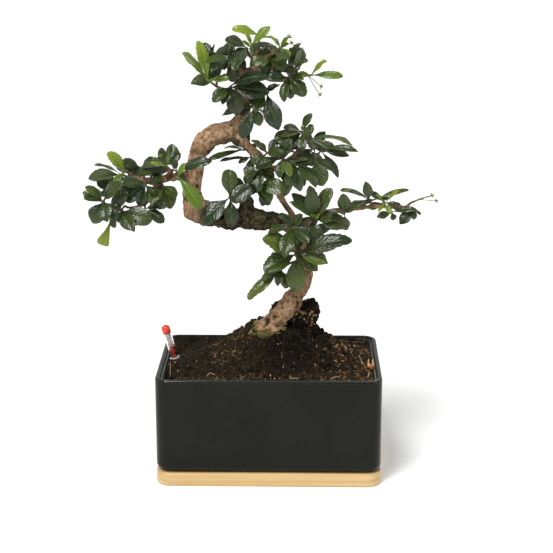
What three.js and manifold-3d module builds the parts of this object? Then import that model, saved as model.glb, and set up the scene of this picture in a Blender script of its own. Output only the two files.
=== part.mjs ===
// A fukien tea bonsai in its self-watering pot, in millimetres, with +Z up.
// The origin is the middle of the tray's underside. +X runs along the pot's long side, to the right
// from the front, and +Y runs away from the front.
import * as THREE from "three";
import { mergeVertices } from "three/addons/utils/BufferGeometryUtils.js";
import Module from "manifold-3d";

const wasm = await Module();
wasm.setup();

// Driving dimensions
const gap = 0.3;
const potLength = 220;
const potDepth = 148.4;
const potCorner = 14;
const potWall = 5.2;
const potFloor = 6;
const potFoot = 7;
const potFloorRound = 5;
const rimHeight = 109.5;
const trayHeight = 14;
const trayFoot = 3;
const trayEase = 0.8;
const soilHeight = 105.5;
const linerWall = 1.6;
const linerTop = rimHeight - 2.2;
const linerFloorHeight = 43;
const moundRoom = 70;
const wickRadius = 14;
const wickPlaces = [-45, 45];
const soilGrid = [20, 13];
const cornerSteps = 4;
const rodSides = 14;
const trunkSides = 9;
const branchSides = 5;
const twigSides = 3;

// The water gauge leans to the left, through a shaft that stands on the liner's floor
const gaugeBase = new THREE.Vector3(-96.3, 6, soilHeight);
const gaugeLean = THREE.MathUtils.degToRad(15.5);
const gaugeRadius = 4;
const gaugeWall = 0.8;
const gaugeBelow = 79;
const gaugeAbove = 27.2;
const capLength = 8.5;
const capPlug = 4;
const shaftRadius = 5.1;
const shaftTop = 1;
const eyeletRadius = 3.4;
const eyeletWire = 1.1;
const eyeletTilt = 18;
const eyeletOut = 3.2;
const floatRodRadius = 0.9;
const floatRodTop = 16.5;
const floatRadius = 2.5;
const floatLength = 16;

// The clod round the roots: its own lump, and the cone of soil that leans on it
const clod = { x: 26, y: 18, height: 54.5, halfLength: 32.5, halfDepth: 30, steepness: 6 };
const slope = { x: 10, y: 8, height: 46, halfLength: 60, halfDepth: 40 };
const dip = { x: -96, y: -40, depth: 2.6, reach: 26 };

// A leaf's outline from stalk to tip, with a notch and a tooth on each side of the tip: share of its
// length, share of its half width, and which point of the rib it is tied to
const bladeEdge = [
  [0, 0.07, 0], [0.15, 0.22, 0], [0.43, 0.88, 1], [0.73, 1, 1], [0.8, 0.76, 1], [0.94, 0.56, 1],
];
const budEdge = [[0, 0.1, 0], [0.45, 0.85, 0], [0.78, 0.9, 0]];
const bladeRib = [0.17, 0.6];
const budRib = [0.45];
const bladeHalfThickness = 0.8;
const bladeCup = 0.16;
const smallLeaf = 15;
const toothShift = 0.03;
const faceOnTilt = -14;
const steepestTilt = 65;
const stemRadius = 1.1;
const rootSpacing = 1.5;
const budRadius = 1.5;
const budStalkRadius = 0.55;
const woodStep = 2.5;
const seedStep = 137;
const firstSeed = 7;
const topHeight = 442;
const ownRoom = 1.9;
const otherRoom = 2.4;
const soilRoom = 4;
const stalkShare = 0.4;
const longestReach = 45;

const materials = {
  ceramic: new THREE.MeshStandardMaterial({ color: 0x16170f, roughness: 0.12, metalness: 0 }),
  bamboo: new THREE.MeshStandardMaterial({ color: 0xdfbd83, roughness: 0.5, metalness: 0 }),
  liner: new THREE.MeshStandardMaterial({ color: 0x1b1b1b, roughness: 0.45, metalness: 0 }),
  soil: new THREE.MeshStandardMaterial({ color: 0x2a211a, roughness: 0.95, metalness: 0 }),
  bark: new THREE.MeshStandardMaterial({ color: 0x9c8468, roughness: 0.85, metalness: 0 }),
  leaf: new THREE.MeshStandardMaterial({ color: 0x2f4420, roughness: 0.3, metalness: 0 }),
  young: new THREE.MeshStandardMaterial({ color: 0x76a02a, roughness: 0.35, metalness: 0 }),
  flower: new THREE.MeshStandardMaterial({ color: 0xb4bd62, roughness: 0.5, metalness: 0 }),
  clear: new THREE.MeshStandardMaterial({ color: 0xe6ecec, roughness: 0.08, metalness: 0 }),
  red: new THREE.MeshStandardMaterial({ color: 0xd83224, roughness: 0.35, metalness: 0 }),
};

// The trunk and its branches from base to end: x, y, z and radius
const trunkRoute = [
  [-18, -3, 112, 14], [-8, -6, 131, 13.5], [0, -6, 142, 12.5], [14, -4, 159, 10], [26, -2, 175, 9.3],
  [32, 0, 187, 9.2], [34, 2, 197, 8.3], [33, 4, 209, 7.3], [30, 4, 221, 6.9], [27, 2, 233, 7.3],
  [21, 0, 244, 7.4], [11, -2, 250, 7.8], [-2, -4, 252, 8.8], [-15, -5, 253, 10], [-29, -5, 254, 9.7],
  [-46, -4, 254, 9.8], [-60, -2, 257, 12], [-71, 0, 264, 10.8], [-76, 3, 276, 8.9], [-75, 6, 289, 8],
  [-73, 8, 303, 8.5], [-69, 9, 317, 10.2], [-61, 8, 328, 11], [-50, 6, 334, 10.6],
  [-39, 4, 338, 10.2], [-30, 2, 345, 8.3], [-26, 1, 356, 6.3], [-23, 0, 368, 5.4],
  [-20, 0, 380, 4.9], [-17, 0, 391, 5.3], [-13, 0, 399, 4],
];
const branchRoutes = [
  [[-77, 6, 289, 7.3], [-87, 1, 293, 4.9], [-100, -5, 293, 4.1], [-116, -9, 291, 3.4], [-127, -12, 294, 2.4],
    [-134, -15, 297, 1.7]],
  [[-106, -7, 293, 3.4], [-112, -11, 282, 2.4], [-119, -16, 271, 2], [-130, -19, 267, 1.7],
    [-136, -21, 267, 1.5]],
  [[-127, -12, 294, 2.4], [-140, -19, 287, 1.8], [-150, -23, 280, 1.5], [-154, -24, 278, 1.3]],
  [[-20, 0, 389, 4], [-27, 1, 396, 4.4], [-37, 2, 399, 3.6], [-45, 3, 403, 1.9]],
  [[-16, 0, 388, 3.6], [-7, -1, 393, 3.9], [3, -2, 390, 3.4], [15, -2, 389, 2.7], [26, -2, 391, 1.9],
    [31, -2, 392, 1.5]],
  [[-13, -1, 397, 3.2], [-16, -2, 407, 2.4], [-17, -3, 409, 1.6]],
  [[-22, 0, 371, 3.9], [-30, -5, 377, 2.2], [-41, -9, 379, 1.7], [-50, -11, 383, 1.4]],
  [[-34, 3, 338, 6.3], [-26, -1, 329, 4.9], [-17, -3, 321, 4.4], [-9, -4, 313, 4.1], [-2, -5, 303, 3.9]],
  [[-2, -5, 303, 3.9], [6, -6, 303, 3.4], [16, -7, 309, 2.9], [25, -7, 317, 2.4], [30, -6, 324, 2.2],
    [32, -5, 332, 1.7]],
  [[27, 3, 234, 5.3], [23, 9, 251, 3.6], [14, 10, 266, 3.4], [6, 8, 280, 3.2], [-1, 5, 291, 2.4],
    [-7, 0, 296, 1.9]],
  [[29, 3, 230, 4.9], [36, 0, 247, 3.2], [47, -2, 257, 2.7], [63, -3, 261, 2.4], [80, -3, 262, 2.2],
    [98, -3, 265, 2], [115, -3, 265, 1.7], [133, -3, 265, 1.5]],
  [[-23, -4, 252, 8.3], [-23, -5, 265, 7.3], [-24, -6, 272, 5.2]],
  [[-24, -6, 268, 4], [-29, -7, 274, 1.9], [-33, -8, 275, 1.4]],
  [[16, -7, 309, 2.4], [27, -4, 313, 1.8], [37, -3, 314, 1.5], [40, -3, 315, 1.2]],
];
const rootRoutes = [
  [[-16, -4, 116, 11], [-34, -14, 98, 5], [-52, -22, 84, 2.4], [-66, -26, 74, 1.2]],
  [[-16, -4, 116, 11], [4, -20, 96, 5], [26, -34, 80, 2.6], [40, -40, 68, 1.2]],
  [[-12, -2, 120, 11], [10, 16, 104, 6.5], [34, 26, 86, 3.2], [56, 30, 72, 1.4]],
  [[-16, -2, 114, 11], [-22, 24, 94, 5], [-26, 42, 78, 2], [-30, 50, 64, 1.1]],
];

// The leafy shoots. Each has the foot where it leaves the wood and one or more tips where its leaves
// gather. A leaf is the direction it takes seen from the front, in degrees with 0 to the right and 90
// up, its length seen from there, and its width where that stands out.
const shoots = [
  { name: "young_1", young: true, foot: [-55, -19, 388], tips: [
    { at: [-58, -23, 391], leaves: [[127, 34, 17], [8, 20, 8], [100, 38, 12]] }] },
  { name: "young_2", young: true, foot: [-15, -7, 413], tips: [
    { at: [-17, -13, 422], leaves: [[52, 25, 12], [112, 15, 5], [140, 11, 4]] }] },
  { name: "young_3", young: true, foot: [-11, 11, 418], tips: [
    { at: [-10, 8, 429], leaves: [[163, 26, 12], [46, 10, 6], [5, 17, 6]] }] },
  { name: "young_4", young: true, foot: [8, -11, 417], tips: [
    { at: [11, -14, 420], leaves: [[322, 12], [125, 12], [60, 14, 5], [35, 10, 4]] }],
    buds: [[19, -13, 430], [14, -16, 424], [21, -12, 424]] },
  { name: "young_5", young: true, foot: [34, -3, 392], tips: [
    { at: [41, -4, 393], leaves: [[2, 29, 9], [48, 20, 10], [170, 12, 6]] }],
    buds: [[49, -9, 383], [48, -7, 375]] },
  { name: "young_6", young: true, foot: [111, -5, 267], tips: [
    { at: [112, -8, 270], leaves: [[52, 19, 6], [132, 12, 5], [232, 9, 5], [300, 10, 6]] }] },
  { name: "young_7", young: true, foot: [-137, -19, 303], tips: [
    { at: [-138, -23, 302], leaves: [[125, 25, 13], [220, 15, 7]] }] },
  { name: "young_8", young: true, foot: [-89, -22, 296], tips: [
    { at: [-87, -26, 299], leaves: [[309, 37, 14], [61, 15, 6]] }] },
  { name: "flower_1", young: true, foot: [140, 5, 268], tips: [], buds: [[158, -2, 276], [162, -3, 271]] },
  { name: "flower_2", young: true, foot: [-97, -18, 306], tips: [
    { at: [-98, -20, 308], leaves: [[165, 16, 4], [80, 13, 4]] }],
    buds: [[-110, -19, 315], [-104, -19, 317]] },
  { name: "crown_1", foot: [-50, -6, 386], tips: [
    { at: [-49, -8, 391], leaves: [[100, 27, 16], [187, 25, 16], [140, 15]] }] },
  { name: "crown_2", foot: [-48, 2, 406], tips: [
    { at: [-55, 4, 408], leaves: [[42, 17], [82, 15], [150, 13], [190, 16]] }] },
  { name: "crown_3", foot: [-20, -3, 413], tips: [
    { at: [-21, -7, 419], leaves: [[154, 22], [233, 24, 17], [9, 25], [325, 20]] }] },
  { name: "crown_4", foot: [-31, 1, 404], tips: [
    { at: [-33, -3, 413], leaves: [[190, 26], [215, 24], [170, 24], [260, 16]] }] },
  { name: "crown_5", foot: [3, -6, 405], tips: [
    { at: [-1, -12, 412], leaves: [[325, 21], [200, 19], [20, 24], [255, 18], [70, 12]] }] },
  { name: "crown_6", foot: [25, -3, 396], tips: [
    { at: [29, -4, 400], leaves: [[112, 21], [95, 22], [77, 20], [190, 18]] },
    { at: [17, -12, 391], leaves: [[318, 23], [277, 20, 10], [250, 16], [345, 14]] }] },
  { name: "crown_7", foot: [-36, -12, 381], tips: [
    { at: [-37, -19, 384], leaves: [[18, 36, 22], [352, 37, 19], [286, 27], [245, 16],
      [205, 20, 11]] }] },
  { name: "crown_8", foot: [-17, -8, 366], tips: [
    { at: [-14, -15, 363], leaves: [[246, 31, 14], [290, 18], [200, 17], [191, 32, 10]] }] },
  { name: "crown_9", foot: [-9, -7, 378], tips: [
    { at: [-2, -12, 377], leaves: [[289, 35, 18], [232, 20, 12], [35, 12]] }] },
  { name: "crown_10", foot: [0, 17, 396], tips: [
    { at: [-9, 28, 403], leaves: [[160, 24], [118, 20], [75, 18], [20, 20], [215, 20]] },
    { at: [17, 27, 396], leaves: [[65, 27, 11], [120, 18], [20, 24], [330, 18]] }] },
  { name: "crown_11", foot: [-37, 17, 399], tips: [
    { at: [-46, 25, 402], leaves: [[100, 12, 9], [165, 22], [200, 22], [60, 16]] }] },
  { name: "crown_12", foot: [-33, -7, 402], tips: [
    { at: [-38, -15, 411], leaves: [[175, 22, 8], [20, 24, 12], [200, 22, 10], [280, 20, 12]] }] },
  { name: "middle_1", foot: [32, -5, 335], tips: [
    { at: [31, -7, 340], leaves: [[195, 27], [160, 18], [222, 25], [262, 15]] },
    { at: [38, -13, 333], leaves: [[2, 41, 9], [300, 12], [335, 24, 9]] }] },
  { name: "middle_2", foot: [46, -3, 316], tips: [
    { at: [51, 2, 321], leaves: [[4, 34, 8], [350, 27, 8], [308, 30, 9]] },
    { at: [43, -15, 313], leaves: [[290, 25, 19], [325, 20]] }] },
  { name: "middle_3", foot: [18, -12, 311], tips: [
    { at: [25, -18, 310], leaves: [[322, 28], [285, 26, 13], [258, 34, 11], [302, 27, 12]] },
    { at: [11, -18, 316], leaves: [[197, 26], [300, 18], [345, 20], [272, 22, 13]] }] },
  { name: "middle_4", foot: [-6, -9, 315], tips: [
    { at: [-1, -13, 320], leaves: [[139, 20, 9], [50, 17], [22, 18], [200, 16]] }] },
  { name: "middle_5", foot: [-14, 5, 319], tips: [
    { at: [-26, 11, 318], leaves: [[188, 35, 7], [170, 20, 6]] },
    { at: [-18, 12, 310], leaves: [[182, 31, 8], [205, 14, 6]] }] },
  { name: "middle_6", foot: [31, 15, 312], tips: [
    { at: [20, 26, 315], leaves: [[130, 20], [80, 16], [195, 22], [250, 20], [330, 22]] },
    { at: [44, 27, 317], leaves: [[60, 20, 12], [118, 18, 12], [12, 22, 12], [300, 20]] }] },
  { name: "heart_1", foot: [-8, -8, 297], tips: [
    { at: [-9, -13, 305], leaves: [[250, 17], [215, 15], [60, 13]] },
    { at: [-11, -14, 290], leaves: [[355, 26], [214, 31], [290, 20]] },
    { at: [-6, -8, 284], leaves: [[270, 17], [200, 20], [310, 15]] }] },
  { name: "heart_2", foot: [-36, -11, 275], tips: [
    { at: [-39, -15, 276], leaves: [[76, 27, 17], [222, 34], [275, 27], [30, 22]] }] },
  { name: "heart_3", foot: [-20, 9, 274], tips: [
    { at: [-22, 19, 277], leaves: [[150, 20], [100, 12], [200, 20], [20, 18], [270, 16]] }] },
  { name: "elbow_1", foot: [43, -8, 252], tips: [
    { at: [45, -14, 255], leaves: [[140, 31, 10], [66, 35, 15], [353, 32, 17], [125, 34, 14],
      [97, 35, 15], [270, 20, 18]] }] },
  { name: "elbow_2", foot: [69, -7, 260], tips: [
    { at: [73, -11, 259], leaves: [[92, 21], [150, 18], [40, 17]] }] },
  { name: "elbow_3", foot: [29, -12, 219], tips: [
    { at: [26, -20, 222], leaves: [[20, 55, 19], [350, 31], [148, 37], [200, 35], [264, 37, 20],
      [322, 24]] }] },
  { name: "elbow_4", foot: [18, -14, 209], tips: [
    { at: [11, -20, 205], leaves: [[203, 20], [219, 43, 14], [150, 17]] }] },
  { name: "elbow_5", foot: [35, 15, 230], tips: [
    { at: [40, 25, 232], leaves: [[15, 20], [200, 20], [120, 20], [265, 20], [315, 18]] }] },
  { name: "elbow_6", foot: [24, -11, 243], tips: [
    { at: [21, -17, 248], leaves: [[190, 22], [242, 26], [300, 15], [60, 17], [125, 20]] }] },
  { name: "right_1", foot: [99, -4, 269], tips: [
    { at: [96, -7, 274], leaves: [[158, 29, 11], [148, 24, 8], [100, 19, 10], [200, 23, 12]] },
    { at: [104, -3, 273], leaves: [[15, 33, 6], [195, 14, 6], [352, 15, 5]] }] },
  { name: "right_2", foot: [118, -4, 262], tips: [
    { at: [119, -8, 260], leaves: [[195, 15, 8], [290, 8, 7], [12, 24, 7]] }] },
  { name: "right_3", foot: [137, -4, 264], tips: [
    { at: [142, -9, 263], leaves: [[220, 20, 12], [262, 9, 6], [175, 23, 7], [330, 8, 5]] }] },
  { name: "right_4", foot: [108, 8, 263], tips: [
    { at: [113, 17, 266], leaves: [[150, 20, 9], [345, 20, 9], [198, 16, 8]] }] },
  { name: "left_1", foot: [-138, -16, 297], tips: [
    { at: [-142, -20, 299], leaves: [[197, 35, 16], [158, 28, 6], [28, 18], [264, 26, 17]] }] },
  { name: "left_2", foot: [-157, -25, 277], tips: [
    { at: [-160, -27, 273], leaves: [[147, 21], [128, 22], [168, 19, 6], [244, 23, 18], [46, 28],
      [285, 18, 14]] }] },
  { name: "left_3", foot: [-140, -22, 268], tips: [
    { at: [-143, -26, 265], leaves: [[347, 31, 18], [182, 20, 13], [296, 20, 14], [262, 13, 9],
      [318, 22]] },
    { at: [-150, -28, 262], leaves: [[249, 31, 13]] }] },
  { name: "left_4", foot: [-118, -15, 290], tips: [
    { at: [-119, -22, 289], leaves: [[207, 24, 15], [303, 22], [250, 21], [168, 24]] }] },
  { name: "left_5", foot: [-95, -9, 301], tips: [
    { at: [-101, -12, 306], leaves: [[175, 23], [192, 26], [103, 20, 9]] },
    { at: [-89, -15, 302], leaves: [[19, 36, 13], [275, 24, 16], [312, 16], [108, 24, 14],
      [240, 23, 15]] }] },
  { name: "left_6", foot: [-107, -11, 282], tips: [
    { at: [-103, -17, 291], leaves: [[290, 26, 17], [262, 27, 15], [330, 18, 12], [225, 20, 13]] }] },
  { name: "left_7", foot: [-122, -8, 297], tips: [
    { at: [-125, -6, 304], leaves: [[28, 18], [152, 19], [172, 25], [62, 15], [10, 21]] }] },
  { name: "left_8", foot: [-120, -19, 268], tips: [
    { at: [-119, -24, 265], leaves: [[285, 11, 10], [226, 18, 13], [330, 21, 12], [20, 16]] }] },
  { name: "left_9", foot: [-118, 7, 289], tips: [
    { at: [-117, 18, 291], leaves: [[100, 18], [160, 24], [30, 22], [215, 20], [310, 22]] }] },
  { name: "left_10", foot: [-146, -5, 282], tips: [
    { at: [-151, 4, 279], leaves: [[150, 20], [200, 20], [20, 18], [335, 20], [270, 20]] }] },
];

// Vectors as plain arrays
const add = (a, b, share = 1) => a.map((value, i) => value + b[i] * share);
const subtract = (a, b) => a.map((value, i) => value - b[i]);
const dot = (a, b) => a.reduce((sum, value, i) => sum + value * b[i], 0);
const length = (a) => Math.sqrt(dot(a, a));
const unit = (a) => a.map((value) => value / length(a));
const mix = (a, b, share) => a.map((value, i) => value + (b[i] - value) * share);
const cross = (a, b) => [a[1] * b[2] - a[2] * b[1], a[2] * b[0] - a[0] * b[2], a[0] * b[1] - a[1] * b[0]];
const radians = (degrees) => (degrees * Math.PI) / 180;

// A seeded draw between 0 and 1, the same on every run
function seededDraw(seed) {
  let state = (seed * 7919 + 17) % 4294967296;
  const draw = () => {
    state = (state * 1664525 + 1013904223) % 4294967296;
    return state / 4294967296;
  };
  draw();
  draw();
  return draw;
}

// Geometry and solids
function geometryFrom(points, faces) {
  const geometry = new THREE.BufferGeometry();
  geometry.setAttribute("position", new THREE.Float32BufferAttribute(points.flat(), 3));
  geometry.setIndex(faces.flat());
  return geometry;
}

function solidFrom(geometry) {
  const loose = geometry.index ? geometry.toNonIndexed() : geometry;
  const bare = new THREE.BufferGeometry().setAttribute("position", loose.getAttribute("position"));
  const merged = mergeVertices(bare, 1e-4);
  return new wasm.Manifold(new wasm.Mesh({
    numProp: 3,
    vertProperties: merged.attributes.position.array,
    triVerts: new Uint32Array(merged.index.array),
  }));
}

function geometryOf(solid) {
  const mesh = solid.getMesh();
  const geometry = new THREE.BufferGeometry();
  geometry.setAttribute("position", new THREE.Float32BufferAttribute(mesh.vertProperties, 3));
  geometry.setIndex(new THREE.Uint32BufferAttribute(mesh.triVerts, 1));
  geometry.computeVertexNormals();
  return geometry;
}

const joined = (solids) => solids.reduce((whole, piece) => whole.add(piece));

// A round bar along a route, with knots and hollows where bark is above nothing
function barAlong(route, sides, bark = 0, swell = 0) {
  const points = [];
  const faces = [];
  const place = (row) => row.slice(0, 3);
  let across = Math.abs(unit(subtract(place(route[1]), place(route[0])))[0]) < 0.9 ? [1, 0, 0] : [0, 1, 0];
  route.forEach((row, i) => {
    const back = place(route[Math.max(i - 1, 0)]);
    const ahead = place(route[Math.min(i + 1, route.length - 1)]);
    const along = unit(subtract(ahead, back));
    across = unit(add(across, along, -dot(across, along)));
    const beside = cross(along, across);
    for (let k = 0; k < sides; k++) {
      const turn = (2 * Math.PI * k) / sides;
      const knots = Math.sin(3 * turn + 0.9 * i) + 0.8 * Math.sin(2 * turn - 1.7 * i);
      const radius = row[3] * (1 + bark * knots) + swell;
      points.push(add(add(place(row), across, radius * Math.cos(turn)), beside, radius * Math.sin(turn)));
    }
  });
  for (let i = 0; i < route.length - 1; i++) {
    for (let k = 0; k < sides; k++) {
      const a = i * sides + k;
      const b = i * sides + ((k + 1) % sides);
      faces.push([a, b, b + sides], [a, b + sides, a + sides]);
    }
  }
  const last = (route.length - 1) * sides;
  for (let k = 1; k < sides - 1; k++) {
    faces.push([0, k + 1, k], [last, last + k, last + k + 1]);
  }
  return solidFrom(geometryFrom(points, faces));
}

// A stack of rounded rectangles, each given as half length, half depth, corner and height
function roundedStack(rings) {
  const points = [];
  const faces = [];
  rings.forEach(([halfLength, halfDepth, corner, height]) => {
    for (let quarter = 0; quarter < 4; quarter++) {
      const sideX = quarter === 0 || quarter === 3 ? 1 : -1;
      const sideY = quarter < 2 ? 1 : -1;
      for (let k = 0; k <= cornerSteps; k++) {
        const turn = (Math.PI / 2) * (quarter + k / cornerSteps);
        const x = sideX * (halfLength - corner) + corner * Math.cos(turn);
        const y = sideY * (halfDepth - corner) + corner * Math.sin(turn);
        points.push([x, y, height]);
      }
    }
  });
  const around = 4 * (cornerSteps + 1);
  for (let i = 0; i < rings.length - 1; i++) {
    for (let k = 0; k < around; k++) {
      const a = i * around + k;
      const b = i * around + ((k + 1) % around);
      faces.push([a, b, b + around], [a, b + around, a + around]);
    }
  }
  const top = (rings.length - 1) * around;
  points.push([0, 0, rings[0][3]], [0, 0, rings[rings.length - 1][3]]);
  for (let k = 0; k < around; k++) {
    const next = (k + 1) % around;
    faces.push([points.length - 2, next, k], [points.length - 1, top + k, top + next]);
  }
  return solidFrom(geometryFrom(points, faces));
}

function uprightRod(radius, from, to, x, y) {
  const rod = new THREE.CylinderGeometry(radius, radius, to - from, rodSides);
  rod.rotateX(Math.PI / 2);
  rod.translate(x, y, (from + to) / 2);
  return solidFrom(rod);
}

// A piece turned on the gauge's leaning axis, from a profile of radius and height above the soil
function turnedOnGauge(profile, sides = rodSides) {
  const turned = new THREE.LatheGeometry(profile.map(([r, z]) => new THREE.Vector2(r, z)), sides);
  turned.rotateX(Math.PI / 2);
  turned.rotateY(-gaugeLean);
  turned.translate(gaugeBase.x, gaugeBase.y, gaugeBase.z);
  return solidFrom(turned);
}

const gaugeRod = (radius, from, to) => turnedOnGauge([[0, from], [radius, from], [radius, to], [0, to]]);

// The tray and the pot
function makeTray() {
  const eased = (inset, height) => [potLength / 2 - inset, potDepth / 2 - inset, potCorner - inset, height];
  return roundedStack([
    eased(trayFoot, 0),
    eased(0.3 * trayFoot, 0.4 * trayFoot),
    eased(0, 1.1 * trayFoot),
    eased(0, trayHeight - trayEase),
    eased(trayEase, trayHeight),
  ]);
}

function makePot() {
  const [halfLength, halfDepth] = [potLength / 2, potDepth / 2];
  const bottom = trayHeight + gap;
  const rings = [];
  for (const turn of [0, 0.5, 1]) {
    const inset = potFoot * (1 - Math.sin((turn * Math.PI) / 2));
    const height = bottom + potFoot * (1 - Math.cos((turn * Math.PI) / 2));
    rings.push([halfLength - inset, halfDepth - inset, potCorner - inset / 2, height]);
  }
  const half = potWall / 2;
  for (const turn of [0, 0.25, 0.5, 0.75, 1]) {
    const inset = half * (1 - Math.cos(turn * Math.PI));
    const height = rimHeight - half * (1 - Math.sin(turn * Math.PI));
    rings.push([halfLength - inset, halfDepth - inset, potCorner - inset, height]);
  }
  for (const turn of [0, 0.5, 1]) {
    const inset = potWall + potFloorRound * (1 - Math.cos((turn * Math.PI) / 2));
    const height = bottom + potFloor + potFloorRound * (1 - Math.sin((turn * Math.PI) / 2));
    rings.push([halfLength - inset, halfDepth - inset, potCorner - inset, height]);
  }
  return roundedStack(rings);
}

// The liner holds the soil above the water. Two hollow feet let the soil reach down to it.
function linerSpace(inset, floor, feet) {
  const [halfLength, halfDepth] = [potLength / 2 - inset, potDepth / 2 - inset];
  const corner = Math.max(potCorner - inset, 2);
  const heights = [floor, rimHeight + moundRoom];
  const body = roundedStack(heights.map((height) => [halfLength, halfDepth, corner, height]));
  return joined([body, ...wickPlaces.map((x) => uprightRod(feet.radius, feet.from, floor + 2, x, 0))]);
}

const linerInset = potWall + gap;
const soilInset = linerInset + linerWall;
const feetBottom = trayHeight + gap + potFloor + gap;
const eyeletX = gaugeBase.x + shaftRadius + eyeletOut;

function makeLiner() {
  const above = roundedStack([
    [potLength, potDepth, potCorner, linerTop],
    [potLength, potDepth, potCorner, rimHeight + moundRoom + 5],
  ]);
  const outer = linerSpace(linerInset, linerFloorHeight, { radius: wickRadius, from: feetBottom });
  const inner = linerSpace(soilInset, linerFloorHeight + linerWall,
    { radius: wickRadius - linerWall, from: feetBottom + linerWall });
  const shell = outer.subtract(inner).subtract(above);
  const shaftFoot = -(soilHeight - linerFloorHeight) / Math.cos(gaugeLean) - 2;
  const shaft = gaugeRod(shaftRadius, shaftFoot, shaftTop);
  const bore = gaugeRod(gaugeRadius + gap, -gaugeBelow, 2 * shaftTop);
  const eyelet = new THREE.TorusGeometry(eyeletRadius, eyeletWire, 6, 12);
  eyelet.rotateX(radians(-eyeletTilt));
  eyelet.translate(eyeletX, gaugeBase.y, soilHeight + 0.5);
  return joined([shell, shaft, solidFrom(eyelet)]).subtract(bore);
}

// The height of the soil's surface at a place
function soilTop(x, y) {
  const lump = clod.height * Math.exp(-(Math.abs((x - clod.x) / clod.halfLength) ** clod.steepness
    + Math.abs((y - clod.y) / clod.halfDepth) ** clod.steepness));
  const cone = slope.height * Math.exp(-(((x - slope.x) / slope.halfLength) ** 2
    + ((y - slope.y) / slope.halfDepth) ** 2));
  const hollow = dip.depth * Math.exp(-(((x - dip.x) / dip.reach) ** 2 + ((y - dip.y) / dip.reach) ** 2));
  const crumbs = 0.7 * Math.sin(x * 0.31 + 1.3 * Math.sin(y * 0.23)) + 0.5 * Math.sin(y * 0.37 + x * 0.11);
  const heap = Math.max(lump, cone);
  return soilHeight + heap - hollow + crumbs * (0.6 + heap / 30);
}

function makeSoil(wood) {
  const block = new THREE.BoxGeometry(potLength, potDepth, 2, ...soilGrid, 1);
  const position = block.getAttribute("position");
  for (let i = 0; i < position.count; i++) {
    const [x, y] = [position.getX(i), position.getY(i)];
    position.setZ(i, position.getZ(i) > 0 ? soilTop(x, y) : feetBottom);
  }
  const space = linerSpace(soilInset + gap, linerFloorHeight + linerWall + gap,
    { radius: wickRadius - linerWall - gap, from: feetBottom + linerWall + gap });
  const shaft = gaugeRod(shaftRadius + gap, -gaugeBelow, gaugeAbove);
  const eyeletRoom = eyeletRadius + eyeletWire + 2 * gap;
  const eyeletFoot = soilHeight - 2.5 * eyeletWire;
  const eyelet = uprightRod(eyeletRoom, eyeletFoot, soilHeight + moundRoom, eyeletX, gaugeBase.y);
  return largestBody(solidFrom(block).intersect(space).subtract(shaft).subtract(eyelet).subtract(wood));
}

// The biggest of a solid's loose bodies
function largestBody(solid) {
  const bodies = solid.decompose();
  return bodies.reduce((best, body) => (body.volume() > best.volume() ? body : best));
}

// The water gauge
function makeGaugeTube() {
  const inside = gaugeRadius - gaugeWall;
  return turnedOnGauge([[inside, 1 - gaugeBelow], [gaugeRadius, 1 - gaugeBelow], [gaugeRadius, gaugeAbove],
    [inside, gaugeAbove], [inside, 1 - gaugeBelow]]);
}

function makeGaugeCap() {
  const bottom = gaugeAbove + gap;
  const plug = gaugeRadius - gaugeWall - gap;
  const top = bottom + capLength;
  return turnedOnGauge([[0, bottom - capPlug], [plug, bottom - capPlug], [plug, bottom],
    [gaugeRadius + gap, bottom], [gaugeRadius + gap, top - gaugeWall],
    [gaugeRadius - gaugeWall, top], [0, top]]);
}

function makeGaugeFloat() {
  const low = 2 - gaugeBelow;
  const shoulder = low + floatLength;
  return turnedOnGauge([[0, low], [floatRadius, low], [floatRadius, shoulder], [floatRodRadius, shoulder + 2],
    [floatRodRadius, floatRodTop], [0, floatRodTop]], 10);
}

// The wood: trunk, branches, roots, and a twig out to each shoot's foot
function nearestWood(place, routes) {
  let best = null;
  for (const route of routes) {
    for (let k = 0; k <= 4 * (route.length - 1); k++) {
      const i = Math.min(Math.floor(k / 4), route.length - 2);
      const row = mix(route[i], route[i + 1], k / 4 - i);
      const away = length(subtract(place, row.slice(0, 3))) - row[3];
      if (!best || away < best.away) {
        best = { row, away };
      }
    }
  }
  return best.row;
}

const targetsOf = (shoot) => [...shoot.tips.map((tip) => tip.at), ...(shoot.buds || [])];
const shootDirection = (shoot) => unit(subtract(targetsOf(shoot)[0], shoot.foot));

function twigRoute(shoot, routes) {
  const start = nearestWood(shoot.foot, routes);
  const end = shoot.foot;
  const along = shootDirection(shoot);
  const reach = length(subtract(end, start.slice(0, 3)));
  const last = add(end, along, -1.5);
  const rows = [[...start.slice(0, 3), Math.min(start[3], 1.8 + reach / 20)]];
  if (reach > 12) {
    const bend = add(end, along, -0.4 * reach);
    rows.push([...mix(mix(rows[0].slice(0, 3), bend, 0.5), mix(bend, end, 0.5), 0.5), 1.6]);
  }
  rows.push([...last, stemRadius], [...end, stemRadius]);
  return rows;
}

const woodRoutes = [trunkRoute, ...branchRoutes];
const twigRoutes = shoots.map((shoot) => twigRoute(shoot, woodRoutes));

function makeTrunk(swell) {
  const pieces = [barAlong(woodRoutes[0], trunkSides, 0.045, swell)];
  rootRoutes.forEach((rows) => pieces.push(barAlong(rows, branchSides, 0.03, swell)));
  return joined(pieces);
}

function makeWood() {
  const pieces = [makeTrunk(0)];
  woodRoutes.slice(1).forEach((route) => pieces.push(barAlong(route, branchSides, 0.03)));
  twigRoutes.forEach((route) => pieces.push(barAlong(route, twigSides)));
  return largestBody(joined(pieces));
}

// Leaves
function shareAlong(edge, v) {
  for (let i = 0; i < edge.length - 1; i++) {
    if (v <= edge[i + 1][0]) {
      const t = (v - edge[i][0]) / (edge[i + 1][0] - edge[i][0]);
      return edge[i][1] + t * (edge[i + 1][1] - edge[i][1]);
    }
  }
  return edge[edge.length - 1][1];
}

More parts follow.
